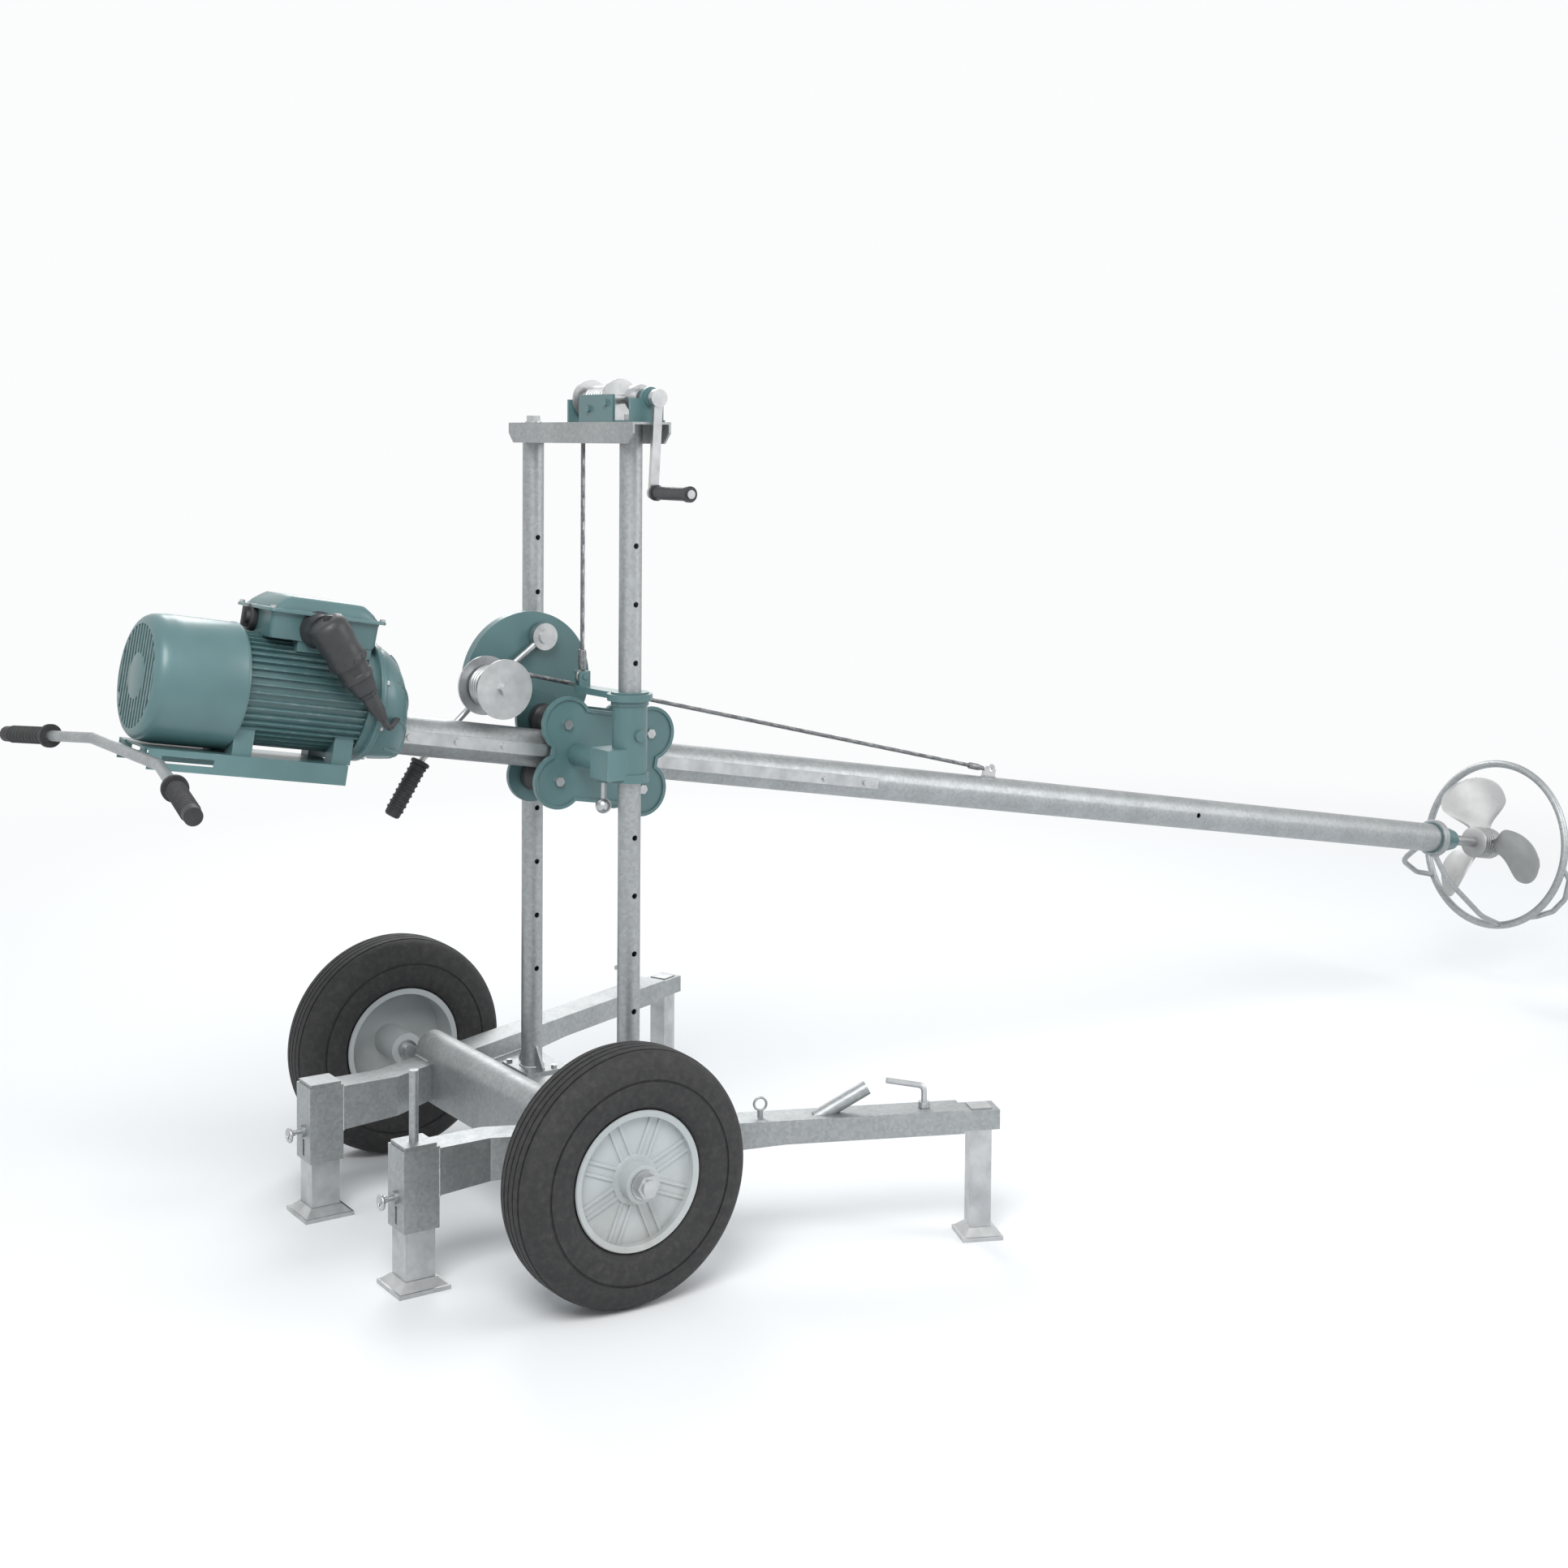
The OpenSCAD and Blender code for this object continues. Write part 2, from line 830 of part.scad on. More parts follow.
// The two mast tubes, each with a row of pin holes.
module mast_tubes() {
    top_hole = head_z - 259;
    hole_n = 9;
    color(steel) placed()
        for (side = [-1, 1])
            translate([mast_x, side * mast_y, 0])
                difference() {
                    translate([0, 0, mast_foot])
                        cylinder(d = mast_d, h = mast_top - mast_foot);
                    translate([0, 0, mast_foot - 1])
                        cylinder(d = mast_d - 2 * mast_wall, h = mast_top - mast_foot - 9);
                    for (k = [0 : hole_n - 1])
                        translate([0, 0, top_hole - k * hole_pitch])
                            rod_y(hole_d, -mast_d, mast_d);
                }
}

// Folded head beam: open below and at its ends, with cropped lower corners.
module head_beam() {
    crop = 22;
    color(steel) placed()
        difference() {
            translate([mast_x - head_w / 2, 0, head_z])
                rotate([90, 0, 90])
                    linear_extrude(head_w)
                        polygon([
                            [-head_right, 0],
                            [-head_right, crop - head_h],
                            [-head_right + crop, -head_h],
                            [head_left - crop, -head_h],
                            [head_left, crop - head_h],
                            [head_left, 0]
                        ]);
            block([mast_x - head_w / 2 + head_t, -head_right - 1, head_z - head_h - 1],
                  [mast_x + head_w / 2 - head_t, head_left + 1, head_z - head_t]);
            translate([rope_x, rope_y, head_z - 2 * head_t])
                cylinder(d = rope_d + 16, h = 4 * head_t);
        }
}

// Frame of the hoist winch: base, two cheeks with bearing bosses and a bolted side plate.
module hoist_frame() {
    near_y = hoist_cheek;
    far_y = hoist_y2 + 10;
    boss_d = crank_shaft_d + 16;
    color(paint) placed() {
        difference() {
            union() {
                block([mast_x - 40, near_y, head_z], [mast_x + 40, near_y + cheek_t, hoist_z]);
                translate([hoist_x, 0, hoist_z])
                    rod_y(48, near_y, near_y + cheek_t);
                block([mast_x - 40, far_y, head_z], [mast_x + 40, far_y + cheek_t, hoist_z]);
                translate([hoist_x, 0, hoist_z])
                    rod_y(48, far_y, far_y + cheek_t);
                translate([hoist_x, 0, hoist_z])
                    rod_y(boss_d, near_y - 8, near_y);
                block([mast_x - 44, hoist_y1 - 66, head_z], [mast_x - 38, hoist_y1 + 78, head_z + 58]);
                block([mast_x - 40, near_y, head_z], [mast_x + 44, near_y + 70, head_z + 4]);
            }
            translate([hoist_x, 0, hoist_z])
                rod_y(crank_shaft_d + 2 * fit_gap, near_y - 20, far_y + 20);
            translate([mast_x, -mast_y, head_z - 1])
                cylinder(d = 46, h = 30);
        }
        for (p = [[hoist_y1 - 40, 40], [hoist_y1 + 32, 28]])
            translate([mast_x - 44, p[0], head_z + p[1]])
                rotate([0, -90, 0])
                    hex_z(13, 0, 6);
    }
}

// Rope drum, brake disc and their shaft.
module hoist_drum() {
    end_y = hoist_y2 + 10 + cheek_t + 6;
    color(bright) placed()
        translate([hoist_x, 0, hoist_z]) {
            rod_y(crank_shaft_d, hoist_cheek - 20, end_y);
            rod_y(2 * hoist_core_r, hoist_y1, hoist_y2);
            rod_y(2 * hoist_flange_r, hoist_y1 - 5, hoist_y1);
            rod_y(2 * hoist_flange_r, hoist_y2, hoist_y2 + 5);
            for (k = [0 : 7])
                translate([0, rope_y - (k + 1) * (rope_d + 0.5), 0])
                    rotate([90, 0, 0])
                        rotate_extrude()
                            translate([hoist_core_r + rope_d / 2 - 0.5, 0])
                                circle(d = rope_d, $fn = 20);
            rod_y(60, hoist_cheek + 40, hoist_cheek + 58);
            rod_y(44, hoist_cheek + 24, hoist_cheek + 40);
        }
}

// Crank arm on the hoist shaft, hanging down, with the grip's pin.
module hoist_crank() {
    color(paint) placed()
        translate([hoist_x, crank_y, hoist_z]) {
            difference() {
                union() {
                    rod_y(38, -2, 12);
                    rotate([0, crank_lean, 0]) {
                        block([-10, 0, -hoist_arm], [10, 9, 0]);
                        translate([0, 0, -hoist_arm])
                            rod_y(26, 0, 9);
                    }
                }
                rod_y(crank_shaft_d + 2 * fit_gap, 4, 40);
            }
            rotate([0, crank_lean, 0])
                translate([0, 0, -hoist_arm]) {
                    rod_y(grip_pin_d, -grip_run - 3, 2);
                    rod_y(grip_pin_d + 6, -grip_run - 6, -grip_run - 2);
                }
        }
}

// Round grip that turns on the crank's pin.
module hoist_grip() {
    color(rubber) placed()
        translate([hoist_x, crank_y, hoist_z])
            rotate([0, crank_lean, 0])
                translate([0, 0, -hoist_arm])
                    difference() {
                        union() {
                            rod_y(28, -grip_run, -4);
                            rod_y(33, -grip_run - 1.4, -grip_run + 8);
                            rod_y(33, -12, -4);
                        }
                        rod_y(grip_pin_d + 2 * fit_gap, -grip_run - 9, 0);
                    }
}

// Taut rope from the hoist drum down to the carriage, with a thimble eye.
module hoist_rope() {
    color(dark) placed()
        translate([rope_x, rope_y, 0]) {
            translate([0, 0, rope_low])
                cylinder(d = rope_d, h = hoist_z - rope_low);
            translate([0, 0, eye_z])
                rotate([90, 0, 0])
                    rotate_extrude()
                        translate([12, 0])
                            circle(d = rope_d - 1, $fn = 24);
            translate([0, 0, rope_low + 8])
                cylinder(d = rope_d + 7, h = 34);
        }
}

// Sleeve that runs on the right mast tube, with a top collar, a side lug and the tilt trunnion.
module carriage_sleeve() {
    color(paint) placed()
        translate([0, -mast_y, 0])
            difference() {
                union() {
                    translate([mast_x, 0, sleeve_bottom])
                        cylinder(d = sleeve_d - 6, h = sleeve_h);
                    translate([mast_x, 0, sleeve_top - collar_h])
                        cylinder(d = sleeve_d, h = collar_h);
                    translate([mast_x, 0, sleeve_bottom])
                        cylinder(d = sleeve_d + 2, h = 18);
                    block([pivot_x - 30, -30, pivot_z - 32], [mast_x, 44, pivot_z + 32]);
                    translate([pivot_x, 0, pivot_z]) {
                        rod_y(trunnion_d, 40, mast_y - plate_y - plate_t - 1);
                        rod_y(pivot_d, 40, mast_y - plate_y);
                    }
                    translate([pivot_x, 40, pivot_z - 44])
                        cylinder(d = 26, h = 16);
                    translate([mast_x, -sleeve_d / 2 + 6, pivot_z + 60])
                        rod_y(22, -12, 8);
                }
                translate([mast_x, 0, sleeve_bottom - 1])
                    cylinder(d = mast_d + 2 * run_gap, h = sleeve_h + 2);
                translate([pivot_x, 40, pivot_z - 50])
                    cylinder(d = 12 + 2 * fit_gap, h = 40);
            }
}

// Arm from the sleeve's collar over the right rocker plate to the fork that holds the rope's eye.
module hoist_yoke() {
    fork_h = 40;
    color(paint) placed() {
        difference() {
            union() {
                translate([mast_x, -mast_y, yoke_z])
                    cylinder(d = sleeve_d + 16, h = yoke_t);
                hull() {
                    translate([mast_x, -mast_y, yoke_z])
                        cylinder(d = 44, h = yoke_t, $fn = 32);
                    translate([rope_x, rope_y, yoke_z])
                        cylinder(d = 34, h = yoke_t, $fn = 32);
                }
                for (e = [-1, 1])
                    translate([rope_x, rope_y, yoke_z + yoke_t])
                        block([-13, e * 10 - 3, 0], [13, e * 10 + 3, fork_h - 8]);
            }
            translate([mast_x, -mast_y, yoke_z - 1])
                cylinder(d = sleeve_d + 2 * fit_gap, h = yoke_t + 2);
        }
        translate([rope_x, rope_y, eye_z])
            rod_y(12, -16, 16);
    }
}

// Clamp screw under the trunnion with a ball knob.
module tilt_clamp() {
    low = pivot_z - 94;
    color(dark) placed()
        translate([pivot_x, 40 - mast_y, 0]) {
            translate([0, 0, low])
                cylinder(d = 12, h = 94 - trunnion_d / 2 + 8);
            translate([0, 0, low])
                sphere(d = 34);
        }
}

// Outline of a rocker plate in the shaft tube's frame: four lobes round the roller bolts.
module plate_outline(trim) {
    half = roller_span / 2;
    for (sx = [-1, 1])
        for (sz = [-1, 1])
            translate([sx * half, sz * roller_rise])
                circle(r = lobe_r - trim, $fn = 64);
    translate([-half - 28 + trim, -roller_rise])
        square([2 * half + 56 - 2 * trim, 2 * roller_rise]);
    translate([-half, -roller_rise - 38 + trim])
        square([2 * half, 2 * roller_rise + 76 - 2 * trim]);
}

// Rocker plate standing from y1, with a raised rim on its outer face.
module rocker_plate(y1, outer) {
    rim_t = 4;
    translate([rocker_mid, y1, 0])
        rotate([90, 0, 0])
            mirror([0, 0, 1])
                difference() {
                    union() {
                        linear_extrude(plate_t)
                            plate_outline(0);
                        translate([0, 0, outer > 0 ? plate_t : -rim_t])
                            linear_extrude(rim_t)
                                difference() {
                                    plate_outline(0);
                                    plate_outline(7);
                                }
                    }
                    for (sx = [-1, 1])
                        for (sz = [-1, 1])
                            translate([sx * roller_span / 2, sz * roller_rise, -9])
                                cylinder(d = roller_bore + 2 * fit_gap, h = plate_t + 18);
                    if (outer < 0)
                        translate([pivot_l - rocker_mid, 0, -9])
                            cylinder(d = pivot_d + 2 * fit_gap, h = plate_t + 18);
                }
}

module right_rocker_plate() {
    color(paint) placed()
        on_boom()
            rocker_plate(-plate_y - plate_t, -1);
}

module left_rocker_plate() {
    color(paint) placed()
        on_boom()
            rocker_plate(plate_y, 1);
}

// The four bolts that carry the rollers and tie the plates together.
module roller_bolts() {
    face = plate_y + plate_t;
    color(bright) placed()
        on_boom()
            for (sx = [-1, 1])
                for (sz = [-1, 1])
                    translate([rocker_mid + sx * roller_span / 2, 0, sz * roller_rise]) {
                        rod_y(roller_bore, -face - 2, face + 2);
                        hex_y(19, -face - 8, -face);
                        hex_y(19, face, face + 8);
                    }
}

// Roller hollowed to the shaft tube's curve, turning on its bolt.
module roller(along, up) {
    hug = boom_d / 2 + 0.5;
    flat_y = sqrt(hug * hug - pow(roller_rise - roller_end_r, 2));
    waist = [for (k = [-8 : 8])
        let (y = flat_y * k / 8)
            [roller_rise - sqrt(hug * hug - y * y), y]];
    section = concat(
        [[roller_bore / 2 + fit_gap, -roller_half], [roller_end_r - 4, -roller_half]],
        [[roller_end_r, -roller_half + 4]],
        waist,
        [[roller_end_r, roller_half - 4], [roller_end_r - 4, roller_half]],
        [[roller_bore / 2 + fit_gap, roller_half]]
    );
    color(dark) placed()
        on_boom()
            translate([rocker_mid + along * roller_span / 2, 0, up * roller_rise])
                rotate([90, 0, 0])
                    rotate_extrude()
                        polygon(section);
}

module rear_upper_roller() {
    roller(-1, 1);
}

module rear_lower_roller() {
    roller(-1, -1);
}

module front_upper_roller() {
    roller(1, 1);
}

module front_lower_roller() {
    roller(1, -1);
}

// Round-topped gear case of the haul winch on two spacers, with the lever's boss.
module gear_case() {
    low = roller_rise + 14;
    color(paint) placed()
        on_boom() {
            difference() {
                union() {
                    intersection() {
                        translate([case_l, 0, case_up])
                            rod_y(2 * case_r, case_y, case_y + case_t);
                        block([case_l - 300, case_y - 1, low], [case_l + 300, case_y + 99, 600]);
                    }
                    translate([case_l, 0, case_up])
                        rod_y(2 * case_r - 16, case_y + case_t, case_y + case_t + 5);
                    translate([boss_l, 0, boss_up])
                        rod_y(52, lever_y + lever_t + 1, case_y);
                    for (x = [12, 52])
                        translate([x, 0, roller_rise + 26])
                            rod_y(22, plate_y + plate_t + 4, case_y);
                }
                block([case_l - 300, case_y, -100], [case_l + 300, case_y + 99, low]);
                translate([drum_l, 0, drum_up])
                    rod_y(drum_bolt_d + 2 * fit_gap, case_y - 9, case_y + case_t - 5);
                translate([boss_l, 0, boss_up])
                    rod_y(16 + 2 * fit_gap, lever_y, case_y + case_t - 5);
            }
        }
}

// Haul drum on its shaft, wound with rope, with a bolt head on its open end.
module haul_drum() {
    color(bright) placed()
        on_boom()
            translate([drum_l, 0, drum_up]) {
                rod_y(drum_bolt_d, fit_gap - 20, case_y + case_t - 6);
                difference() {
                    union() {
                        rod_y(2 * haul_core_r, -drum_y + 5, drum_y - 5);
                        rod_y(2 * haul_flange_r, -drum_y, -drum_y + 5);
                        rod_y(2 * haul_flange_r, drum_y - 5, drum_y);
                        for (k = [-3, -2, -1, 1, 2, 3])
                            translate([0, k * (rope_d + 0.6), 0])
                                rotate([90, 0, 0])
                                    rotate_extrude()
                                        translate([haul_core_r + rope_d / 2 - 0.5, 0])
                                            circle(d = rope_d, $fn = 20);
                        hex_y(24, -drum_y - 10, -drum_y);
                    }
                    rod_y(drum_bolt_d + 2 * fit_gap, -20, drum_y + 1);
                }
            }
}

// Long cranked lever of the haul winch with a ribbed grip, hanging beside the shaft tube.
module haul_lever() {
    bar_y = lever_y + 1;
    bend_1 = [boom_x(40, 1165), bar_y, boom_up(40, 1165)];
    bend_2 = [boom_x(-141, 998), bar_y, boom_up(-141, 998)];
    tip = [boom_x(-207, 891), bar_y, boom_up(-207, 891)];
    start = [boss_l, bar_y, boss_up];
    grip_run = norm(tip - bend_2);
    color(bright) placed()
        on_boom() {
            translate([boss_l, 0, boss_up]) {
                rod_y(60, lever_y - 8, lever_y + lever_t);
                rod_y(16, lever_y, case_y + case_t - 6);
                rod_y(30, lever_y - 12, lever_y - 8);
            }
            bent_bar([start, bend_1, bend_2, tip], 14, 60);
            translate(bend_2)
                rotate([0, 180 + atan2(bend_2[0] - tip[0], bend_2[2] - tip[2]), 0]) {
                    translate([0, 0, 14])
                        cylinder(d = 28, h = grip_run - 6);
                    for (k = [0 : 5])
                        translate([0, 0, 22 + k * 16])
                            rotate_extrude()
                                translate([14, 0])
                                    circle(d = 5, $fn = 16);
                    translate([0, 0, 8])
                        cylinder(d = 36, h = 6);
                }
        }
}

// Taut rope from the haul drum to the eye on the shaft tube.
module haul_rope() {
    start = [drum_l, 0, haul_start_up];
    stop = [haul_eye_l - 17, 0, haul_eye_up];
    color(dark) placed()
        on_boom()
            bent_bar([start, stop], rope_d, 1);
}

// Shaft tube, seated in the drive housing's flange.
module shaft_tube() {
    color(steel) placed()
        on_boom()
            difference() {
                rod_x(boom_d, -boom_back - flange_t + 4, boom_front);
                rod_x(boom_d - 2 * boom_wall, -boom_back - 30, boom_front + 1);
                for (k = [1, 4])
                    rotate([k * 60 + 30, 0, 0])
                        translate([1900, 0, boom_d / 2])
                            cylinder(d = 14, h = 20, center = true);
            }
}

// Flat guide strips on both sides of the shaft tube with their bolt heads, and the haul rope's eye.
module guide_rails() {
    rail_h = 26;
    rail_t = 7;
    rail_front = 800;
    y1 = boom_d / 2 - 1.5;
    color(bright) placed()
        on_boom() {
            difference() {
                union() {
                    block([haul_eye_l - 16, -4, boom_d / 2 - 1], [haul_eye_l + 22, 4, haul_eye_up]);
                    translate([haul_eye_l + 6, 0, haul_eye_up])
                        rod_y(26, -4, 4);
                }
                translate([haul_eye_l + 6, 0, haul_eye_up])
                    rod_y(11, -9, 9);
                rod_x(boom_d + 2 * fit_gap, -boom_back - 9, boom_front);
            }
            for (s = [-1, 1])
                difference() {
                    union() {
                        block([-boom_back + 4, s > 0 ? y1 : -y1 - rail_t, -rail_h / 2],
                              [rail_front, s > 0 ? y1 + rail_t : -y1, rail_h / 2]);
                        for (x = [-430, -320, -210, 640, 760])
                            translate([x, 0, 0])
                                rod_y(14, s > 0 ? y1 : -y1 - rail_t - 5, s > 0 ? y1 + rail_t + 5 : -y1);
                    }
                    rod_x(boom_d + 2 * fit_gap, -boom_back - 9, boom_front);
                }
        }
}

// Involute gear profile with backlash taken off each flank.
function involute(base, a) = [base * (cos(a) + a * PI / 180 * sin(a)), base * (sin(a) - a * PI / 180 * cos(a))];
function turned(p, a) = [p[0] * cos(a) - p[1] * sin(a), p[0] * sin(a) + p[1] * cos(a)];

module gear_outline(teeth, phase) {
    pressure = 20;
    pitch = gear_module * teeth / 2;
    base = pitch * cos(pressure);
    tip = pitch + gear_module * 0.95;
    root = pitch - gear_module * 1.25;
    play = 0.35 / pitch * 180 / PI;
    inv_pitch = tan(pressure) * 180 / PI - pressure;
    half = 90 / teeth + inv_pitch - play;
    roll_end = sqrt(pow(tip / base, 2) - 1) * 180 / PI;
    roll_start = base > root ? 0 : sqrt(pow(root / base, 2) - 1) * 180 / PI;
    flank = [for (k = [0 : 5]) involute(base, roll_start + (roll_end - roll_start) * k / 5)];
    polygon([for (t = [0 : teeth - 1])
        let (mid = phase + t * 360 / teeth)
            each concat(
                [turned([root, 0], mid - half)],
                [for (k = [0 : 5]) turned(flank[k], mid - half)],
                [for (k = [5 : -1 : 0]) turned([flank[k][0], -flank[k][1]], mid + half)],
                [turned([root, 0], mid + half)]
            )]);
}

// Bell housing between motor and shaft tube: it holds the offset gear pair and ends in the tube's flange.
module drive_housing() {
    back = -housing_back;
    front = -boom_back - flange_t;
    wall = 7;
    gear_r = gear_module * (wheel_teeth + 2.4) / 2;
    pinion_r = gear_module * (pinion_teeth + 2.4) / 2;
    color(paint) placed()
        on_boom()
            difference() {
                union() {
                    translate([back, 0, motor_rise])
                        rotate([0, 90, 0])
                            cylinder(r1 = cowl_d / 2 - 6, r2 = 112, h = front - back);
                    translate([back + 14, 0, -6])
                        rotate([0, 90, 0])
                            cylinder(r1 = 84, r2 = 66, h = front - back - 14);
                    translate([0, 0, motor_rise])
                        rod_x(cowl_d - 4, back, back + 12);
                    translate([0, 0, motor_rise - 4])
                        rod_x(230, front - 1, -boom_back);
                }
                rod_x(boom_d + 2 * fit_gap, front + 4 - fit_gap, 0);
                rod_x(2 * gear_r + 4, gear_l - gear_w / 2 - 4, gear_l + gear_w / 2 + 4);
                translate([0, 0, motor_rise])
                    rod_x(2 * pinion_r + 4, gear_l - gear_w / 2 - 4, gear_l + gear_w / 2 + 4);
                rod_x(shaft_d + 2 * fit_gap, gear_l - 40, 0);
                translate([0, 0, motor_rise])
                    rod_x(motor_shaft_d + 2 * fit_gap, -motor_back, gear_l + 26);
            }
}

// Drive shaft with its gear inside the housing.
module drive_shaft() {
    color(bright) placed()
        on_boom() {
            rod_x(shaft_d, gear_l - 34, prop_l + prop_len / 2 - 8);
            translate([gear_l - gear_w / 2, 0, 0])
                rotate([90, 0, 90])
                    linear_extrude(gear_w)
                        gear_outline(wheel_teeth, 90);
        }
}

// Bearing and seal carrier at the tube's end, with a bush and three more inside the tube.
module tail_bearing() {
    color(paint) placed()
        on_boom() {
            difference() {
                union() {
                    rod_x(boom_d + 8, boom_front, boom_front + 26);
                    translate([boom_front + 26, 0, 0])
                        rotate([0, 90, 0])
                            cylinder(d1 = boom_d + 4, d2 = 58, h = tail_len - 26);
                    rod_x(boom_d - 2 * boom_wall - 2 * fit_gap, boom_front - 60, boom_front);
                }
                rod_x(shaft_d + 2 * fit_gap, boom_front - 70, boom_front + tail_len + 9);
            }
            for (x = [300, 1200, 2100])
                pipe_x(boom_d - 2 * boom_wall - 2 * fit_gap, shaft_d + 2 * fit_gap, x, x + 60);
        }
}

// Finned motor frame with its stator ring and end shields.
module motor_frame() {
    front = -housing_back;
    back = -motor_back;
    fin_t = 3;
    color(paint) placed()
        on_boom()
            translate([0, 0, motor_rise])
                difference() {
                    union() {
                        rod_x(2 * frame_r - 16, back, front);
                        for (k = [0 : fin_count - 1])
                            rotate([k * 360 / fin_count, 0, 0])
                                block([back + 22, -fin_t / 2, frame_r - 12],
                                      [front - 20, fin_t / 2, frame_r]);
                        rod_x(2 * frame_r, back, back + 18);
                        rod_x(2 * frame_r + 4, front - 18, front);
                        for (x = [back + 46, front - 46])
                            for (s = [-1, 1])
                                block([x - 20, s * 62 - 18, tray_top - motor_rise], [x + 20, s * 62 + 18, -60]);
                    }
                    rod_x(2 * rotor_r + 6, back + 34, front - 34);
                    rod_x(2 * stator_r, back + 34, back + 70);
                    rod_x(2 * stator_r, front - 70, front - 34);
                    rod_x(motor_shaft_d + 2 * fit_gap, back - 9, front + 9);
                }
}

// Rotor on its shaft, with the pinion at the front end and the cooling fan at the rear.
module motor_rotor() {
    blade_n = 7;
    fan_l = -motor_back - 60;
    color(bright) placed()
        on_boom()
            translate([0, 0, motor_rise]) {
                rod_x(motor_shaft_d, -motor_back - 90, gear_l + 24);
                rod_x(2 * rotor_r, -motor_back + 76, -housing_back - 76);
                translate([gear_l - gear_w / 2, 0, 0])
                    rotate([90, 0, 90])
                        linear_extrude(gear_w)
                            gear_outline(pinion_teeth, 270 + 180 / pinion_teeth);
                rod_x(60, fan_l - 18, fan_l + 18);
                rod_x(190, fan_l + 14, fan_l + 18);
                for (k = [0 : blade_n - 1])
                    rotate([k * 360 / blade_n, 0, 0])
                        block([fan_l - 16, -2, 26], [fan_l + 16, 2, 96]);
            }
}

// Fan cowl: a rounded shell whose end has upright slots round a blank centre.
module fan_cowl() {
    wall = 3;
    front = -motor_back + 26;
    back = -cowl_back;
    r = cowl_d / 2;
    grille_r = r - 22;
    slot_pitch = 9;
    slot_n = floor(grille_r / slot_pitch);
    color(paint) placed()
        on_boom()
            translate([0, 0, motor_rise])
                difference() {
                    rotate([0, 90, 0])
                        rotate_extrude($fn = 96)
                            polygon([
                                [0, back], [grille_r + 1, back], [r - 9, back + 13],
                                [r - 2, back + 36], [r, back + 60], [r, front], [r - wall, front],
                                [r - wall, back + 60], [r - wall - 2, back + 38],
                                [r - wall - 9, back + 17], [grille_r - 1, back + wall], [0, back + wall]
                            ]);
                    difference() {
                        intersection() {
                            rod_x(2 * grille_r - 8, back - 9, back + 9);
                            for (k = [-slot_n : slot_n])
                                block([back - 9, k * slot_pitch - 2.2, -r], [back + 9, k * slot_pitch + 2.2, r]);
                        }
                        rod_x(76, back - 20, back + 20);
                    }
                }
}

// Terminal box on top of the motor frame, with the plug's round socket on its right face.
module terminal_box() {
    color(paint) placed()
        on_boom() {
            difference() {
                block([-box_back, -box_y, box_low], [-box_front, box_y, lid_z]);
                translate([0, 0, motor_rise]) {
                    rod_x(2 * frame_r + 0.6, -box_back - 9, -box_front + 9);
                    rod_x(2 * frame_r + 4.6, -housing_back - 18.3, -box_front + 9);
                }
            }
            translate([plug_start[0], 0, plug_start[2]])
                rod_y(34, plug_y + 37.8, -box_y + 1);
        }
}

// Overhanging domed lid of the terminal box, with its corner screws.
module terminal_lid() {
    lid_edge = 10;
    mid = -(box_back + box_front) / 2;
    half = (box_back - box_front) / 2;
    color(paint) placed()
        on_boom() {
            intersection() {
                block([-box_back - 99, -box_y - 99, lid_z], [-box_front + 99, box_y + 99, lid_z + 99]);
                hull() {
                    block([-box_back - lid_edge, -box_y - lid_edge, lid_z],
                          [-box_front + lid_edge, box_y + lid_edge, lid_z + 7]);
                    for (s = [-1, 1])
                        translate([mid + s * (half - 30), 0, lid_z + 6])
                            rotate([90, 0, 0])
                                cylinder(r = 28, h = 2 * box_y - 60, center = true, $fn = 32);
                }
            }
            for (sx = [-1, 1])
                for (sy = [-1, 1])
                    translate([mid + sx * (half + 2), sy * (box_y + 2), lid_z + 6])
                        cylinder(d = 10, h = 5);
        }
}

// Round rotary switch on the rear face of the terminal box.
module switch_knob() {
    color(dark) placed()
        on_boom()
            translate([-box_back, 18, box_low + 34]) {
                rod_x(12, -15, -run_gap);
                rod_x(46, -26, -14);
                block([-35, -5, -20], [-26, 5, 20]);
            }
}

// Plug in its angled housing beside the terminal box, and its short lead to the drive housing.
module plug_and_lead() {
    along = unit(plug_stop - plug_start);
    run = norm(plug_stop - plug_start);
    color(dark) placed()
        on_boom() {
            translate(plug_start)
                rotate([0, atan2(along[0], along[2]), 0]) {
                    translate([0, 0, -24])
                        cylinder(d = 75, h = 84);
                    translate([0, 0, 60])
                        cylinder(d1 = 66, d2 = 50, h = 56);
                    translate([0, 0, 115])
                        cylinder(d1 = 44, d2 = 20, h = run - 115);
                }
            bent_bar([plug_stop - along * 8, plug_stop + along * 20, lead_end], 13, 14);
        }
}

// Folded tray under the motor, on which the motor's feet stand, with lightening slots.
module motor_tray() {
    wall = 4;
    color(paint) placed()
        on_boom() {
            difference() {
                block([-tray_back, -tray_y, tray_top - tray_h], [-tray_front, tray_y, tray_top]);
                block([-tray_back - 1, -tray_y + wall, tray_top - tray_h - 1],
                      [-tray_front + 1, tray_y - wall, tray_top - wall]);
                block([-tray_back + 26, -tray_y - 9, tray_top - 26], [-tray_back + 130, tray_y + 9, tray_top - 12]);
            }
            for (s = [-1, 1])
                block([-tray_back - 3, s * 60 - 12, bar_up - 14], [-tray_back + 3, s * 60 + 12, tray_top]);
        }
}

